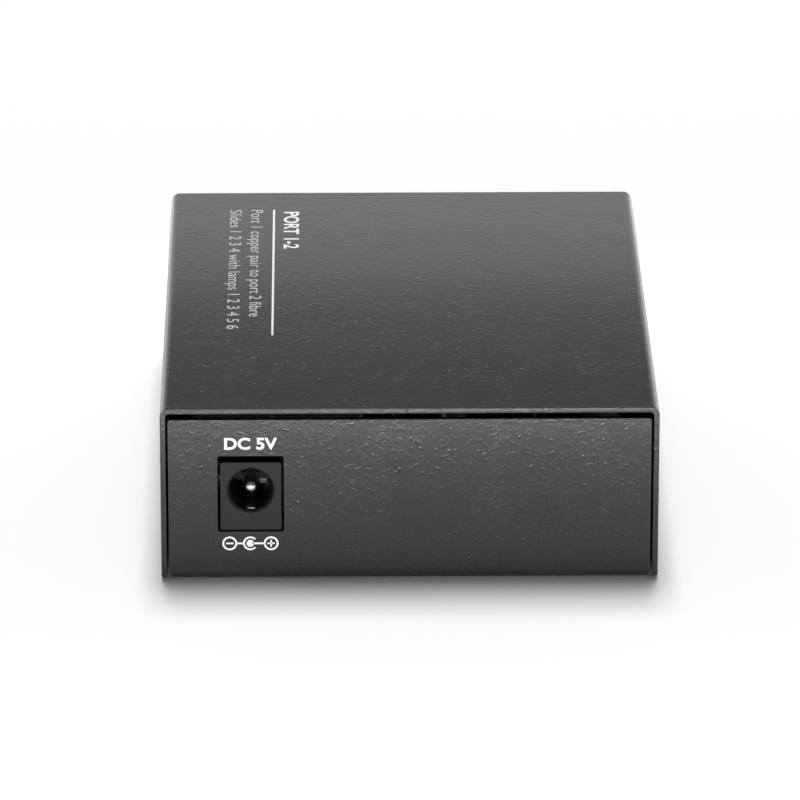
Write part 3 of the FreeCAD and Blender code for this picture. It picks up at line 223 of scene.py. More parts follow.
class Recipe:
    """One material, or the world: its nodes and its main shader."""

    def __init__(self, name, world=False):
        self.owner = (bpy.data.worlds if world else bpy.data.materials).new(name)
        self.owner.use_nodes = True
        self.tree = self.owner.node_tree
        self.shader = self.tree.nodes["Background" if world else "Principled BSDF"]
        self.height = None

    def node(self, kind, settings=None, sockets=None, output=0):
        """Adds a node: first its settings, then the values or links of its sockets."""
        added = self.tree.nodes.new(kind)
        for key, value in (settings or {}).items():
            setattr(added, key, value)
        for key, value in (sockets or {}).items():
            self.feed(added.inputs[key], value)
        return Link(self, added.outputs[output])

    def feed(self, socket, value):
        if isinstance(value, Link):
            self.tree.links.new(value.socket, socket)
        elif socket.type == "RGBA" and len(value) == 3:
            socket.default_value = (*value, 1.0)
        else:
            socket.default_value = value

    def set(self, **sockets):
        """Feeds the main shader; an underscore in a name stands for a space."""
        for key, value in sockets.items():
            self.feed(self.shader.inputs[key.replace("_", " ")], value)
        return self

    def place(self):
        """Object coordinates, which are metres in the frame."""
        return self.node("ShaderNodeTexCoord", output="Object")

    def axes(self):
        """The three coordinates of the place."""
        split = self.node("ShaderNodeSeparateXYZ", None, {0: self.place()})
        outputs = split.socket.node.outputs
        return [Link(self, outputs[i]) for i in range(3)]

    def facing(self):
        """The three parts of the surface's own direction."""
        split = self.node("ShaderNodeSeparateXYZ", None,
                          {0: self.node("ShaderNodeTexCoord", output="Normal")})
        outputs = split.socket.node.outputs
        return [Link(self, outputs[i]) for i in range(3)]

    def stretched(self, scale, turn=(0, 0, 0)):
        """The place, turned and stretched."""
        return self.node("ShaderNodeMapping", {"vector_type": "TEXTURE"},
                         {"Vector": self.place(), "Scale": scale, "Rotation": turn})

    def noise(self, feature, detail=2.0, roughness=0.5, vector=None):
        """Cloudy pattern whose features are about this long, in metres; mean 0.5."""
        return self.node("ShaderNodeTexNoise", None,
                         {"Vector": vector or self.place(), "Scale": 1.0 / feature,
                          "Detail": detail, "Roughness": roughness})

    def cells(self, feature, output, vector=None):
        """Scattered cells of about this size, in metres."""
        return self.node("ShaderNodeTexVoronoi", None,
                         {"Vector": vector or self.place(), "Scale": 1.0 / feature}, output)

    def mix(self, share, first, second):
        """Colour between two colours."""
        return self.node("ShaderNodeMix", {"data_type": "RGBA"},
                         {0: share, 6: first, 7: second}, output=2)

    def raise_by(self, height, metres):
        """Adds relief: height 0 to 1 stands for this many metres."""
        layer = height * (metres / MM)
        self.height = layer if self.height is None else self.height + layer
        return self

    def finish(self):
        if self.height is not None:
            self.set(Normal=self.node("ShaderNodeBump", None,
                                      {"Distance": MM, "Height": self.height}))
        return self.owner


def shade(rgb, factor):
    """A colour made lighter or darker."""
    return tuple(min(1.0, part * factor) for part in rgb)


# ---------------------------------------------------------------- finishes
def speck_layer(coat, look, turn, stretch, sparse):
    """Raised specks, longer one way, on some of the cells of a scatter."""
    spread = coat.stretched((stretch, 1.0, 1.0), turn)
    choice = coat.node("ShaderNodeSeparateColor", None,
                       {0: coat.cells(look.spacing, "Color", spread)})
    uneven = (coat.noise(look.speck, 1.0) - 0.5) * 0.12
    radius = look.speck / look.spacing * 0.5
    dome = 1.0 - (coat.cells(look.spacing, "Distance", spread) + uneven).rising(0.0, radius)
    return dome * choice.rising(sparse, 1.0)


# Heights of the coat's layers, as shares of its relief
GRAIN_RISE, PEEL_RISE, WRINKLE_RISE, SPECK_RISE = 0.28, 0.18, 0.35, 0.75


def powder_coat():
    """Satin charcoal powder: fine grain, orange peel, short wrinkles and raised specks."""
    look = bpy.context.scene.converter_coat
    coat = Recipe("powder_coat")
    grain = coat.noise(look.grain, 2.0, 0.6)
    peel = coat.noise(look.grain * 4, 1.0)
    patches = coat.noise(look.wrinkle * 6, 1.0).rising(0.3, 0.7)
    wrinkle = 1.0 - ((coat.noise(look.wrinkle, 1.0) - 0.5).size() * 8.0).least(1.0)
    broken = coat.noise(look.wrinkle * 1.3, 1.0).rising(0.45, 0.62)
    wrinkle = wrinkle * broken * (0.5 + patches * 0.5)
    specks = speck_layer(coat, look, (0.3, 0.5, 0.5), 1.2, 0.2)
    for turn, stretch in (((0.9, -0.6, -0.8), 2.2), ((-0.7, 0.8, 1.9), 2.6)):
        specks = specks.most(speck_layer(coat, look, turn, stretch, 0.4))
    coat.raise_by(grain, look.relief * GRAIN_RISE)
    coat.raise_by(peel, look.relief * PEEL_RISE)
    coat.raise_by(wrinkle, look.relief * WRINKLE_RISE)
    coat.raise_by(specks, look.relief * SPECK_RISE)
    colour = coat.mix(grain.rising(0.3, 0.7), shade(look.colour, 0.86), shade(look.colour, 1.14))
    coat.set(Base_Color=colour, Roughness=0.19 + grain * 0.06 + patches * 0.02,
             Specular_IOR_Level=look.shine)
    return coat.finish()


def ink(name, colour):
    """Screen print: opaque, slightly uneven, with a fine weave left by the mesh."""
    paint = Recipe(name)
    fine = paint.noise(0.15 * MM, 2.0)
    worn = paint.noise(1.2 * MM, 2.0)
    paint.raise_by(fine, 0.004 * MM)
    paint.set(Base_Color=paint.mix(worn.rising(0.25, 0.6), shade(colour, 0.90), colour),
              Roughness=0.42 + fine * 0.2, Specular_IOR_Level=0.4)
    return paint.finish()


def moulded(name, colour, grain=0.12, gloss=0.42, relief=0.004, shine=0.5):
    """Moulded plastic: fine spark texture, faint flow marks and an uneven sheen."""
    plastic = Recipe(name)
    fine = plastic.noise(grain * MM, 3.0, 0.6)
    flow = plastic.noise(1.8 * MM, 2.0, vector=plastic.stretched((1.0, 4.0, 1.0)))
    plastic.raise_by(fine, relief * MM)
    plastic.raise_by(flow, 0.006 * MM)
    colour = plastic.mix(flow, shade(colour, 0.85), shade(colour, 1.18))
    plastic.set(Base_Color=colour, Roughness=gloss + fine * 0.14 + flow * 0.06,
                Specular_IOR_Level=shine)
    return plastic.finish()


def plated(name, colour, drawn=(1.0, 14.0, 1.0), gloss=0.20):
    """Plated sheet: draw marks along the metal, cloudy plating and small dull spots."""
    metal = Recipe(name)
    marks = metal.noise(0.10 * MM, 3.0, 0.7, metal.stretched(drawn))
    cloud = metal.noise(1.6 * MM, 3.0)
    spots = 1.0 - metal.cells(0.9 * MM, "Distance").rising(0.05, 0.22)
    dull = spots * cloud.rising(0.45, 0.6)
    metal.raise_by(marks, 0.0015 * MM)
    tone = metal.mix(cloud, shade(colour, 0.86), shade(colour, 1.08))
    metal.set(Base_Color=metal.mix(dull * 0.35, tone, shade(colour, 0.55)), Metallic=1.0,
              Roughness=gloss + marks * 0.12 + cloud * 0.08 + dull * 0.15)
    return metal.finish()


def box_mask(recipe, low, high):
    """1 inside a box of the frame and 0 outside, from the place on the piece."""
    inside = None
    for axis, (start, end) in zip(recipe.axes(), zip(low, high)):
        within = (axis > start) * (axis < end)
        inside = within if inside is None else inside * within
    return inside


def packaged(name, node, reach, mark=True):
    """Epoxy package with tinned leads: the leads are what lies outside the moulded body."""
    parts = bpy.context.scene.converter_parts
    low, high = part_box(node)
    chip = Recipe(name)
    body = box_mask(chip, (low.x + reach[0], low.y + reach[1], low.z + 0.09 * MM),
                    (high.x - reach[0], high.y - reach[1], high.z + 1 * MM))
    fine = chip.noise(0.08 * MM, 3.0, 0.7)
    cloud = chip.noise(1.5 * MM, 2.0)
    epoxy = chip.mix(fine, (0.018, 0.018, 0.019), (0.040, 0.040, 0.042))
    if mark:
        x, y, z = chip.axes()
        dot = Vector((low.x + reach[0] + 1.1 * MM, high.y - reach[1] - 1.1 * MM))
        far = ((x - dot.x) * (x - dot.x) + (y - dot.y) * (y - dot.y))
        epoxy = chip.mix((far < (0.35 * MM) ** 2) * 0.8, epoxy, (0.10, 0.10, 0.10))
    leads = chip.mix(cloud, shade(parts.tin, 0.85), parts.tin)
    chip.raise_by(fine, 0.003 * MM)
    chip.set(Base_Color=chip.mix(body, leads, epoxy), Metallic=1.0 - body,
             Roughness=0.28 + body * 0.34 + fine * 0.08)
    return chip.finish()


def solder_mask():
    """Green mask over copper: routed tracks, via dots, bare pads and glass weave in the relief."""
    parts = bpy.context.scene.converter_parts
    board = Recipe("solder_mask")
    x, y, z = board.axes()
    pitch = 1.1 * MM
    lanes = board.node("ShaderNodeMath", {"operation": "PINGPONG"}, {0: x, 1: pitch})
    bends = board.cells(9 * MM, "Color", board.stretched((1.0, 3.0, 1.0)))
    zone = board.node("ShaderNodeSeparateColor", None, {0: bends})
    tracks = (lanes < pitch * 0.32) * (zone > 0.45)
    across = board.node("ShaderNodeMath", {"operation": "PINGPONG"}, {0: y, 1: pitch})
    tracks = tracks.most((across < pitch * 0.32) * (zone < 0.30))
    vias = board.cells(3.2 * MM, "Distance") < 0.10
    weave = board.node("ShaderNodeTexWave", {"wave_type": "BANDS"},
                       {"Vector": board.place(), "Scale": 1.0 / (0.9 * MM)})
    cloud = board.noise(6 * MM, 2.0)
    green = board.mix(cloud, shade(parts.mask, 0.85), shade(parts.mask, 1.15))
    over_copper = board.mix(tracks * 0.75, green, shade(parts.mask, 1.9))
    board.raise_by(tracks, 0.02 * MM)
    board.raise_by(weave, 0.002 * MM)
    board.set(Base_Color=board.mix(vias * 0.9, over_copper, parts.tin),
              Roughness=0.30 + cloud * 0.14 - vias * 0.05, Metallic=vias * 0.9)
    return board.finish()


def lens_finish():
    """Tinted lamp lenses with a frosted skin and a painted highlight that makes them paler towards
    their outer tips; the leads behind them are tinned.
    """
    parts = bpy.context.scene.converter_parts
    low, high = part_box("status_lamps")
    holder_low, holder_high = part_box("lamp_block")
    lamp = Recipe("lamp_lens")
    x, y, z = lamp.axes()
    lead_end = holder_low.y + 1.9 * MM
    glass = y > lead_end
    haze = lamp.noise(0.2 * MM, 2.0)
    column = x > (low.x + high.x) / 2
    tone = lamp.mix(column, parts.lamp, parts.lamp_amber)
    # Painted highlight: the lens colour turns up to a tenth of the way to pale yellow-green towards
    # its outer tip.
    tone_with_painted_highlight = lamp.mix((y - low.y).rising(0.0, high.y - low.y) * 0.10, tone, (0.75, 0.78, 0.62))
    lamp.raise_by(haze, 0.003 * MM)
    lamp.set(Base_Color=lamp.mix(glass, parts.tin, tone_with_painted_highlight), Metallic=1.0 - glass,
             Roughness=0.16 + haze * 0.12 + (1.0 - glass) * 0.15, Coat_Weight=glass * 0.5,
             Coat_Roughness=0.08)
    return lamp.finish()


def can_finish():
    """Aluminium cans with a drawn side, a dark band of ink on top and a black base."""
    low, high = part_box("power_capacitors")
    can = Recipe("can_aluminium")
    x, y, z = can.axes()
    base = z < low.z + 1.02 * MM
    lid = z > high.z - 0.2 * MM
    drawn = can.noise(0.12 * MM, 3.0, 0.7, can.stretched((1.0, 1.0, 16.0)))
    cloud = can.noise(1.4 * MM, 2.0)
    bare = can.mix(cloud, (0.62, 0.62, 0.63), (0.76, 0.76, 0.77))
    marked = can.mix(lid * (cloud > 0.56) * 0.8, bare, (0.05, 0.05, 0.06))
    can.raise_by(drawn, 0.002 * MM)
    can.set(Base_Color=can.mix(base, marked, (0.02, 0.02, 0.02)), Metallic=1.0 - base,
            Roughness=0.26 + drawn * 0.12 + base * 0.2)
    return can.finish()


def ended(name, colour, along=1):
    """Small ceramic parts: a matt body, and tinned faces at both ends along one axis."""
    parts = bpy.context.scene.converter_parts
    small = Recipe(name)
    end = small.facing()[along].size() > 0.7
    fine = small.noise(0.10 * MM, 3.0)
    body = small.mix(fine, shade(colour, 0.82), shade(colour, 1.15))
    small.raise_by(fine, 0.004 * MM)
    small.set(Base_Color=small.mix(end, body, parts.tin), Metallic=end * 1.0,
              Roughness=0.55 - end * 0.25 + fine * 0.1)
    return small.finish()


def two_tone(name, split, lower, upper, metal_above):
    """A piece whose foot and top are different stuff, split at a height."""
    both = Recipe(name)
    x, y, z = both.axes()
    above = z > split
    fine = both.noise(0.12 * MM, 3.0, 0.6)
    cloud = both.noise(1.3 * MM, 2.0)
    both.raise_by(fine, 0.003 * MM)
    top = both.mix(cloud, shade(upper, 0.88), shade(upper, 1.08))
    foot = both.mix(fine, shade(lower, 0.85), shade(lower, 1.15))
    both.set(Base_Color=both.mix(above, foot, top),
             Metallic=above * (1.0 if metal_above else 0.0),
             Roughness=0.50 - above * 0.22 + fine * 0.1)
    return both.finish()


# ---------------------------------------------------------------- modelling helpers
def pick(*pieces):
    """Selects just these pieces and makes the first one active."""
    if bpy.context.mode != "OBJECT":
        bpy.ops.object.mode_set(mode="OBJECT")
    bpy.ops.object.select_all(action="DESELECT")
    for piece in pieces:
        piece.select_set(True)
    if pieces:
        bpy.context.view_layer.objects.active = pieces[0]


def modelled_piece(node):
    """A piece of the frame; without it the operator can't finish."""
    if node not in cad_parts:
        raise RuntimeError("The frame has no piece named " + node)
    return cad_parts[node]


def dress(node, material):
    """Gives a modelled piece of the frame its material."""
    piece = modelled_piece(node)
    for slot in piece.material_slots:
        slot.material = material
    if not piece.material_slots:
        piece.data.materials.append(material)


def settle(piece, name, material, body=CASE_BODY):
    """Names a finished piece, gives it its material and lets it ride on its body."""
    piece.name = name
    piece.data.name = name
    piece.data.materials.clear()
    piece.data.materials.append(material)
    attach(piece, body)
    return piece


def finish_modifier(piece, kind, **settings):
    """Adds a modifier, sets it and applies it."""
    modifier = piece.modifiers.new(kind.lower(), kind)
    for key, value in settings.items():
        setattr(modifier, key, value)
    pick(piece)
    bpy.ops.object.modifier_apply(modifier=modifier.name)


def softened(node, name, material, edge, body=CASE_BODY, crease=CREASE):
    """A merged copy of a modelled piece with small radii on its sharp edges, in its place."""
    piece = bpy.data.objects.new(name, modelled_piece(node).data.copy())
    bpy.context.scene.collection.objects.link(piece)
    pick(piece)
    bpy.ops.mesh.customdata_custom_splitnormals_clear()
    bpy.ops.object.mode_set(mode="EDIT")
    bpy.ops.mesh.select_all(action="SELECT")
    bpy.ops.mesh.remove_doubles(threshold=WELD)
    bpy.ops.mesh.dissolve_limited(angle_limit=FLAT)
    bpy.ops.object.mode_set(mode="OBJECT")
    finish_modifier(piece, "BEVEL", width=edge, segments=2, limit_method="ANGLE",
                    angle_limit=crease, use_clamp_overlap=True)
    pick(piece)
    bpy.ops.object.shade_smooth_by_angle(angle=crease)
    finish_modifier(piece, "WEIGHTED_NORMAL", keep_sharp=True, weight=80)
    settle(piece, name, material, body)
    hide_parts(node)
    return piece


def print_frame(corner, along, upward):
    """Matrix of a print field: X runs along the words, Y to their tops, Z out of the surface."""
    out = along.cross(upward)
    return Matrix((
        (along.x, upward.x, out.x, corner.x),
        (along.y, upward.y, out.y, corner.y),
        (along.z, upward.z, out.z, corner.z),
        (0, 0, 0, 1)))


def lettering(name, words, size, boldness, field, material):
    """Words as a thin mesh that fills a width and a cap height in a print field."""
    wide, high = size
    thick = bpy.context.scene.converter_print.thickness
    pick()
    bpy.ops.object.text_add()
    text = bpy.context.object
    text.data.body = words
    text.data.offset = boldness
    text.data.resolution_u = 5
    text.data.extrude = 0.5
    bpy.ops.object.convert(target="MESH")
    piece = bpy.context.object
    corners = [vertex.co for vertex in piece.data.vertices]
    left, right = min(c.x for c in corners), max(c.x for c in corners)
    low, top = min(c.y for c in corners), max(c.y for c in corners)
    piece.data.transform(Matrix.Translation((-left, -low, 0)))
    piece.data.transform(Matrix.Diagonal((wide / (right - left), high / (top - low),
                                          2 * thick, 1)))
    piece.data.transform(field)
    bpy.ops.object.mode_set(mode="EDIT")
    bpy.ops.mesh.select_all(action="SELECT")
    bpy.ops.mesh.remove_doubles(threshold=FINE_WELD)
    bpy.ops.mesh.normals_make_consistent(inside=False)
    bpy.ops.object.mode_set(mode="OBJECT")
    return settle(piece, name, material)


def ink_bar(start, end, width, field):
    """A straight stroke of ink between two points of a print field, with rounded corners."""
    thick = bpy.context.scene.converter_print.thickness
    middle = (Vector(start) + Vector(end)) / 2
    run = Vector(end) - Vector(start)
    pick()
    bpy.ops.mesh.primitive_plane_add(size=1)
    bar = bpy.context.object
    bpy.ops.object.mode_set(mode="EDIT")
    bpy.ops.transform.resize(value=(run.length, width, 1))
    bpy.ops.mesh.bevel(affect="VERTICES", offset=width * 0.3, segments=3)
    bpy.ops.mesh.select_all(action="SELECT")
    bpy.ops.mesh.extrude_region_move(TRANSFORM_OT_translate={"value": (0, 0, 2 * thick)})
    bpy.ops.mesh.select_all(action="SELECT")
    bpy.ops.mesh.normals_make_consistent(inside=False)
    bpy.ops.object.mode_set(mode="OBJECT")
    turn = Matrix.Rotation(math.atan2(run.y, run.x), 4, "Z")
    bar.data.transform(field @ Matrix.Translation((middle.x, middle.y, -thick)) @ turn)
    return bar


def ink_ring(centre, radius, stroke, gap, field):
    """A ring of ink; a gap, as an angle, opens it on the side of the words' end."""
    thick = bpy.context.scene.converter_print.thickness
    pick()
    bpy.ops.mesh.primitive_plane_add(size=1)
    ring = bpy.context.object
    bpy.ops.object.mode_set(mode="EDIT")
    bpy.ops.transform.resize(value=(stroke, 2 * thick, 1))
    bpy.ops.transform.rotate(value=math.pi / 2, orient_axis="X", center_override=(0, 0, 0))
    bpy.ops.transform.translate(value=(radius - stroke / 2, 0, 0))
    bpy.ops.mesh.spin(steps=40, angle=2 * math.pi - gap, center=(0, 0, 0), axis=(0, 0, 1))
    bpy.ops.mesh.select_all(action="SELECT")
    bpy.ops.mesh.remove_doubles(threshold=FINE_WELD)
    if not gap:
        drop_inner_faces(ring)
    bpy.ops.mesh.select_all(action="SELECT")
    bpy.ops.mesh.normals_make_consistent(inside=False)
    bpy.ops.object.mode_set(mode="OBJECT")
    turn = Matrix.Rotation(-gap / 2, 4, "Z")
    ring.data.transform(field @ Matrix.Translation((centre[0], centre[1], 0)) @ turn)
    return ring


def drop_inner_faces(piece):
    """Removes the first section, which a closed spin leaves inside the ring."""
    bpy.ops.mesh.select_all(action="DESELECT")
    mesh = bmesh.from_edit_mesh(piece.data)
    for face in mesh.faces:
        face.select = all(len(edge.link_faces) > 2 for edge in face.edges)
    bmesh.update_edit_mesh(piece.data)
    bpy.ops.mesh.delete(type="FACE")


def joined(pieces):
    """One piece from several."""
    pick(*pieces)
    bpy.ops.object.join()
    return bpy.context.object


def surface_field(across, upward, corner_mm):
    """Print field at a place given in millimetres."""
    return print_frame(Vector(corner_mm) * MM, Vector(across), Vector(upward))


# ---------------------------------------------------------------- pieces
class CaseOperator(Operator):
    """Softened copies of the folded cover and base, both powder coated."""
    bl_idname = "converter.case"
    bl_label = "Case"

    def execute(self, context):
        look = context.scene.converter_coat
        coat = powder_coat()
        softened("top_cover", "cover_shell", coat, look.edge)
        softened("base_chassis", "base_tray", coat, look.edge)
        return {"FINISHED"}


# Print on top: length and height in millimetres and boldness, then the place across and back.
TITLE_SIZE, TITLE_PLACE = (16.8, 2.35, 0.02), (-18.0, 37.9)
UPPER_SIZE, UPPER_PLACE = (47.6, 2.35, -0.004), (-23.5, 38.8)
LOWER_SIZE, LOWER_PLACE = (52.8, 2.35, -0.004), (-26.7, 38.8)


class TopPrintOperator(Operator):
    """Rule, bold title and two thin rows near the -X side of the top."""
    bl_idname = "converter.top_print"
    bl_label = "Print on top"

    def execute(self, context):
        style = context.scene.converter_print
        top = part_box("top_cover")[1].z / MM
        white = ink("white_ink", tuple(style.white))
        grey = ink("grey_ink", tuple(style.grey))
        along, upward = (0, -1, 0), (1, 0, 0)
        field = surface_field(along, upward, (0, 0, top))
        bar = ink_bar((-style.rule_start, -style.rule_aside), (style.rule_end, -style.rule_aside),
                      style.rule_width, field)
        settle(bar, "top_rule", white)
        for name, words, (wide, high_mm, boldness), (aside, back), paint in (
                ("top_title", style.title, TITLE_SIZE, TITLE_PLACE, white),
                ("top_row_upper", style.upper_row, UPPER_SIZE, UPPER_PLACE, grey),
                ("top_row_lower", style.lower_row, LOWER_SIZE, LOWER_PLACE, grey)):
            lettering(name, words, (wide * MM, high_mm * MM), boldness,
                      surface_field(along, upward, (aside, back, top)), paint)
        return {"FINISHED"}


# Print at the inlet
SUPPLY_SIZE = (7.5, 1.82, 0.03)  # length and height in millimetres, and boldness
RING_GAP = math.radians(84)  # opening of the middle ring
SIGN_REACH = 0.50            # arms of the signs, as a share of the ring's radius
SIGN_STROKE = 0.9            # their width, as a share of the other lines


class InletPrintOperator(Operator):
    """Words above the inlet and the polarity symbol below it."""
    bl_idname = "converter.inlet_print"
    bl_label = "Print at the inlet"

    def execute(self, context):
        style = context.scene.converter_print
        inlet_low, inlet_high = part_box("dc_jack_housing")
        middle = (inlet_low.x + inlet_high.x) / 2 / MM
        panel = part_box("base_chassis")[0].y / MM
        white = bpy.data.materials.get("white_ink") or ink("white_ink", tuple(style.white))
        across, upward = (1, 0, 0), (0, 0, 1)
        foot = (middle - style.supply_aside / MM, panel, style.supply_high / MM)
        wide, tall, boldness = SUPPLY_SIZE
        lettering("supply_words", style.supply, (wide * MM, tall * MM), boldness,
                  surface_field(across, upward, foot), white)
        field = surface_field(across, upward, (middle - style.symbol_aside / MM, panel,
                                               style.symbol_high / MM))
        stroke, radius, step, dot = style.stroke, style.ring, style.symbol_step, style.ring_dot
        wing, thin = radius * SIGN_REACH, stroke * SIGN_STROKE
        pieces = [ink_ring((-step, 0), radius, stroke, 0, field),
                  ink_ring((0, 0), radius, stroke, RING_GAP, field),
                  ink_ring((step, 0), radius, stroke, 0, field),
                  ink_ring((0, 0), dot, dot * 0.999, 0, field),
                  ink_bar((-step + radius - stroke / 2, 0), (-radius + stroke / 2, 0), stroke, field),
                  ink_bar((dot * 0.5, 0), (step - radius + stroke / 2, 0), stroke, field),
                  ink_bar((-step - wing, 0), (-step + wing, 0), thin, field),
                  ink_bar((step - wing, 0), (step + wing, 0), thin, field),
                  ink_bar((step, -wing), (step, wing), thin, field)]
        settle(joined(pieces), "polarity_symbol", white)
        return {"FINISHED"}


# Print at the ports, in millimetres: width and height, then the gap above the piece.
PORT_FIGURE, PORT_RISE = (0.9, 1.6), 1.1
SLIDE_FIGURE, SLIDE_RISE = (0.75, 1.3), 3.3
ON_SIZE, ON_RISE = (2.2, 1.3), 5.6
NARROW_FIGURE = 0.3  # a figure 1 is a plain bar, this share of the other figures' width


class PortPrintOperator(Operator):
    """Plain numbers at the two ports and the option slides, and the word ON above those."""
    bl_idname = "converter.port_print"
    bl_label = "Print at the ports"

    def execute(self, context):
        style = context.scene.converter_print
        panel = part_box("base_chassis")[1].y / MM
        white = bpy.data.materials.get("white_ink") or ink("white_ink", tuple(style.white))
        pieces = []

        def write(words, x, z, size):
            wide = size[0] * (NARROW_FIGURE if words == "1" else 1)
            field = surface_field((-1, 0, 0), (0, 0, 1), (x + wide / 2, panel, z))
            pieces.append(lettering("port_print", words, (wide * MM, size[1] * MM), 0.02,
                                    field, white))

        for port, node in (("1", "copper_port_shield"), ("2", "sfp_spring_collar")):
            low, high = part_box(node)
            write(port, (low.x + high.x) / 2 / MM, high.z / MM + PORT_RISE, PORT_FIGURE)
        for number in range(1, SLIDES + 1):
            low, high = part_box("dip_slider_%d" % number)
            write(str(number), (low.x + high.x) / 2 / MM, high.z / MM + SLIDE_RISE, SLIDE_FIGURE)
        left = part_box("dip_slider_1")[1].x / MM
        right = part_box("dip_slider_%d" % SLIDES)[0].x / MM
        write("ON", (left + right) / 2, high.z / MM + ON_RISE, ON_SIZE)
        settle(joined(pieces), "port_numbers", white)
        return {"FINISHED"}


class FixingsOperator(Operator):
    """Black case screws, zinc board screws and standoffs."""
    bl_idname = "converter.fixings"
    bl_label = "Fixings"

    def execute(self, context):
        parts = context.scene.converter_parts
        black = plated("black_zinc", (0.045, 0.045, 0.047), (1, 1, 1), 0.34)
        zinc = plated("bright_zinc", tuple(parts.zinc), (1, 1, 1), 0.24)
        softened("cover_screws", "case_screw_heads", black, parts.radius)
        softened("pcb_screws", "board_screw_heads", zinc, parts.radius)
        dress("pcb_standoffs", zinc)
        return {"FINISHED"}


class InletOperator(Operator):
    """Black moulding of the inlet with its nickel pin and sprung strips."""
    bl_idname = "converter.inlet"
    bl_label = "Inlet"

    def execute(self, context):
        parts = context.scene.converter_parts
        moulding = moulded("inlet_moulding", tuple(parts.black), 0.10, 0.50, shine=0.22)
        softened("dc_jack_housing", "inlet_body", moulding, parts.radius)
        nickel = plated("nickel_turned", tuple(parts.nickel), (1, 1, 1), 0.14)
        for node in ("dc_jack_centre_pin", "dc_jack_sleeve_leaf", "dc_jack_switch_leaf"):
            dress(node, nickel)
        return {"FINISHED"}


class CopperPortOperator(Operator):
    """Tin shell, black insert and gold contacts of the copper port."""
    bl_idname = "converter.copper_port"
    bl_label = "Copper port"

    def execute(self, context):
        parts = context.scene.converter_parts
        dress("copper_port_shield", plated("tinned_shell", tuple(parts.tin)))
        dress("copper_port_housing", moulded("port_moulding", tuple(parts.black), 0.14, 0.46))
        dress("copper_port_contacts", plated("contact_gold", tuple(parts.gold), (1, 1, 1), 0.16))
        return {"FINISHED"}


class FibreSlotOperator(Operator):
    """Nickel cage and collar with the black connector at the slot's end."""
    bl_idname = "converter.fibre_slot"
    bl_label = "Fibre slot"

    def execute(self, context):
        parts = context.scene.converter_parts
        nickel = plated("nickel_sheet", tuple(parts.nickel))
        dress("sfp_cage", nickel)
        spring = plated("spring_nickel", shade(parts.nickel, 1.06), (1, 8, 1), 0.16)
        dress("sfp_spring_collar", spring)
        dress("sfp_connector_housing", moulded("edge_moulding", (0.03, 0.028, 0.026), 0.14, 0.5))
        dress("sfp_connector_contacts", plated("tail_gold", tuple(parts.gold), (1, 1, 1), 0.2))
        return {"FINISHED"}


class LampsOperator(Operator):
    """Tinted lamps in their black holder."""
    bl_idname = "converter.lamps"
    bl_label = "Lamps"

    def execute(self, context):
        parts = context.scene.converter_parts
        holder = moulded("holder_moulding", tuple(parts.black), 0.14, 0.5)
        softened("lamp_block", "lamp_holder", holder, parts.radius)
        softened("status_lamps", "lamp_lenses", lens_finish(), parts.radius)
        return {"FINISHED"}


class SwitchesOperator(Operator):
    """Red switch body, pale slides and tinned leads."""
    bl_idname = "converter.switches"
    bl_label = "Option switches"

    def execute(self, context):
        parts = context.scene.converter_parts
        body = moulded("switch_moulding", tuple(parts.red), 0.12, 0.42)
        softened("dip_switch_body", "switch_body", body, parts.radius)
        dress("dip_switch_pins", plated("switch_leads", tuple(parts.tin)))
        slide = moulded("slide_moulding", tuple(parts.white), 0.10, 0.36)
        for number in range(1, SLIDES + 1):
            softened("dip_slider_%d" % number, "slide_knob_%d" % number, slide, parts.radius,
                     "option_slide_%d" % number)
        return {"FINISHED"}


class BoardOperator(Operator):
    """The board and everything soldered to it."""
    bl_idname = "converter.board"
    bl_label = "Board"

    def execute(self, context):
        dress("circuit_board", solder_mask())
        lead = 1.05 * MM
        dress("converter_chip", packaged("converter_package", "converter_chip", (lead, lead)))
        dress("flash_memory", packaged("memory_package", "flash_memory", (lead, 0)))
        dress("lan_transformer", packaged("transformer_package", "lan_transformer", (lead, 0)))
        dress("voltage_regulator", packaged("regulator_package", "voltage_regulator",
                                            (0, lead), False))
        low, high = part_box("crystal")
        dress("crystal", two_tone("crystal_can", low.z + 0.61 * MM, (0.03, 0.03, 0.03),
                                  (0.72, 0.71, 0.68), True))
        low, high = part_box("power_inductor")
        dress("power_inductor", two_tone("inductor_ferrite", high.z - 0.2 * MM,
                                         (0.05, 0.05, 0.052), (0.09, 0.09, 0.092), False))
        softened("power_capacitors", "capacitor_cans", can_finish(),
                 context.scene.converter_parts.radius)
        dress("protection_diode", ended("diode_epoxy", (0.03, 0.03, 0.032), 0))
        dress("input_fuse", ended("fuse_body", (0.05, 0.20, 0.09), 0))
        dress("chip_capacitors", ended("capacitor_ceramic", (0.42, 0.30, 0.17)))
        dress("chip_resistors", ended("resistor_glaze", (0.035, 0.035, 0.04)))
        return {"FINISHED"}


# ---------------------------------------------------------------- stage
def floor_finish(stage):
    """Pale floor that shows white to the camera and in reflections, and keeps its shadow."""
    floor = Recipe("floor_paper")
    rays = floor.node("ShaderNodeLightPath")
    outputs = rays.socket.node.outputs
    seen = Link(floor, outputs["Is Camera Ray"]).most(Link(floor, outputs["Is Glossy Ray"]))
    seen = seen.most(Link(floor, outputs["Is Transmission Ray"]))
    fibre = floor.noise(0.8 * MM, 2.0)
    base = floor.mix(fibre, shade(tuple(stage.floor), 0.99), tuple(stage.floor))
    floor.set(Base_Color=floor.mix(seen, base, tuple(stage.floor_seen)), Roughness=0.9,
              Specular_IOR_Level=0.0)
    return floor.finish()


def area_light(name, place, size, power, look_at, spread=180.0):
    """A soft rectangular light that the camera doesn't see."""
    data = bpy.data.lights.new(name, "AREA")
    data.shape = "RECTANGLE"
    data.size, data.size_y = size
    data.energy = power
    data.spread = math.radians(spread)
    light = bpy.data.objects.new(name, data)
    bpy.context.scene.collection.objects.link(light)
    light.location = place
    way = Vector(look_at) - Vector(place)
    light.rotation_euler = way.to_track_quat("-Z", "Y").to_euler()
    light.visible_camera = False
    return light


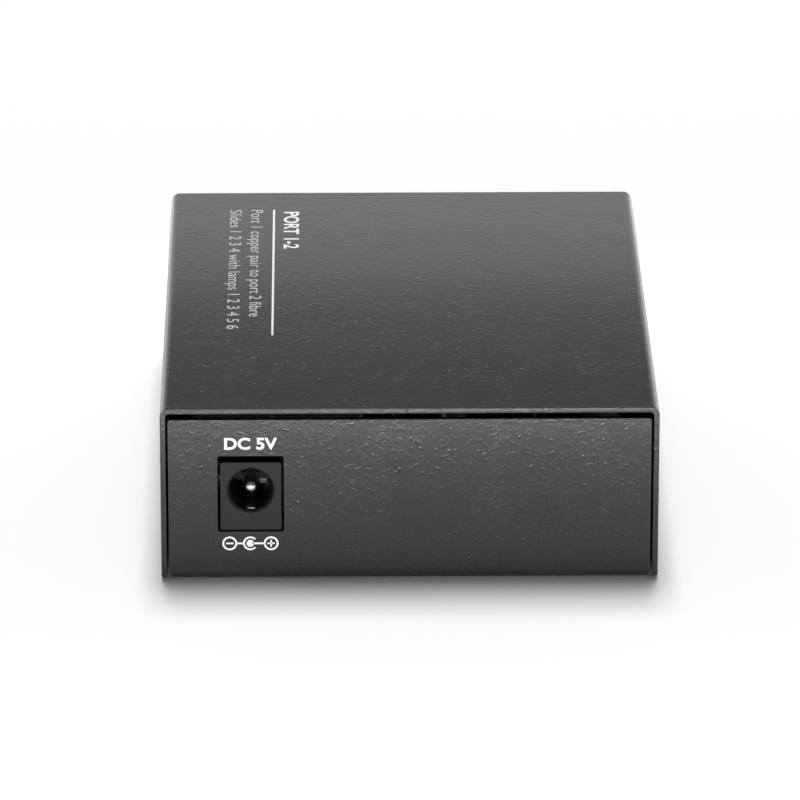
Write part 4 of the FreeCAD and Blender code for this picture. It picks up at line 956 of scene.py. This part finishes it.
def studio_world(stage):
    """White all round at the horizon, and a dim ceiling above it."""
    studio = Recipe("studio_world", world=True)
    split = studio.node("ShaderNodeSeparateXYZ", None,
                        {0: studio.node("ShaderNodeTexCoord", output="Generated")})
    up = Link(studio, split.socket.node.outputs["Z"])
    above = up.rising(math.sin(stage.horizon), math.sin(stage.horizon_top))
    studio.set(Color=(1, 1, 1), Strength=1.0 - above * (1.0 - stage.ceiling))
    bpy.context.scene.world = studio.finish()


# Lights: shares of the lights' height for the two above, metres for the two low cards.
BEHIND = 0.30
STRIP_SIZE, WIDE_SIZE = (0.25, 0.60), (0.50, 0.40)
BACK_CARD_PLACE, BACK_CARD_SIZE = (0, 0.10, 0.035), (0.30, 0.050)
FRONT_CARD_PLACE, FRONT_CARD_SIZE = (0, -0.126, 0.005), (0.25, 0.010)
FRONT_CARD_AIM, FRONT_CARD_SPREAD = (0, -0.047, 0.014), 60.0
FLOOR_SIZE = 8.0


class StageOperator(Operator):
    """Pale floor, soft lights and the camera."""
    bl_idname = "converter.stage"
    bl_label = "Stage"

    def execute(self, context):
        stage = context.scene.converter_stage
        pick()
        bpy.ops.mesh.primitive_plane_add(size=FLOOR_SIZE)
        floor = context.object
        floor.name = "floor"
        floor.data.materials.append(floor_finish(stage))
        studio_world(stage)
        up = stage.light_height
        behind = BEHIND * up
        for name, (wide, deep), power in (("strip_light", STRIP_SIZE, stage.strip_light),
                                          ("wide_light", WIDE_SIZE, stage.wide_light)):
            area_light(name, (0, behind, up), (wide * up, deep * up), power, (0, behind, 0))
        area_light("back_card", BACK_CARD_PLACE, BACK_CARD_SIZE, stage.back_card,
                   (0, 0, BACK_CARD_PLACE[2]))
        area_light("front_card", FRONT_CARD_PLACE, FRONT_CARD_SIZE, stage.front_card,
                   FRONT_CARD_AIM, FRONT_CARD_SPREAD)
        self.camera(context, stage)
        context.scene.view_settings.view_transform = "Standard"
        return {"FINISHED"}

    def camera(self, context, stage):
        target = Vector((stage.look_aside, 0, stage.look_height))
        level = math.cos(stage.elevation)
        away = Vector((level * math.sin(stage.azimuth), -level * math.cos(stage.azimuth),
                       math.sin(stage.elevation)))
        data = bpy.data.cameras.new("camera")
        data.lens = stage.lens
        data.sensor_width = 36.0
        data.clip_start, data.clip_end = 0.05, 20.0
        camera = bpy.data.objects.new("camera", data)
        context.scene.collection.objects.link(camera)
        camera.location = target + away * stage.distance
        camera.rotation_euler = (-away).to_track_quat("-Z", "Y").to_euler()
        context.scene.camera = camera


PIECES = (CaseOperator, TopPrintOperator, InletPrintOperator, PortPrintOperator,
          FixingsOperator, InletOperator, CopperPortOperator, FibreSlotOperator,
          LampsOperator, SwitchesOperator, BoardOperator, StageOperator)
GROUPS = {"converter_coat": CoatSettings, "converter_print": PrintSettings,
          "converter_parts": PartSettings, "converter_stage": StageSettings}


class ConverterPanel(Panel):
    """Lists the pieces of the converter and the stage."""
    bl_idname = "VIEW3D_PT_converter"
    bl_label = "Fibre converter"
    bl_space_type = "VIEW_3D"
    bl_region_type = "UI"
    bl_category = "Converter"

    def draw(self, context):
        for piece in PIECES:
            self.layout.operator(piece.bl_idname)
        for group in GROUPS:
            settings = getattr(context.scene, group)
            for name in settings.bl_rna.properties.keys():
                if name not in ("rna_type", "name"):
                    self.layout.prop(settings, name)


CLASSES = (*GROUPS.values(), *PIECES, ConverterPanel)


def register():
    for cls in CLASSES:
        bpy.utils.register_class(cls)
    for name, cls in GROUPS.items():
        setattr(bpy.types.Scene, name, PointerProperty(type=cls))


def unregister():
    for name in GROUPS:
        delattr(bpy.types.Scene, name)
    for cls in reversed(CLASSES):
        bpy.utils.unregister_class(cls)


def main():
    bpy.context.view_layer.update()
    register()
    for piece in PIECES:
        group, name = piece.bl_idname.split(".")
        if getattr(getattr(bpy.ops, group), name)() != {"FINISHED"}:
            raise RuntimeError(piece.bl_label + " didn't finish")


if __name__ == "__main__":
    main()
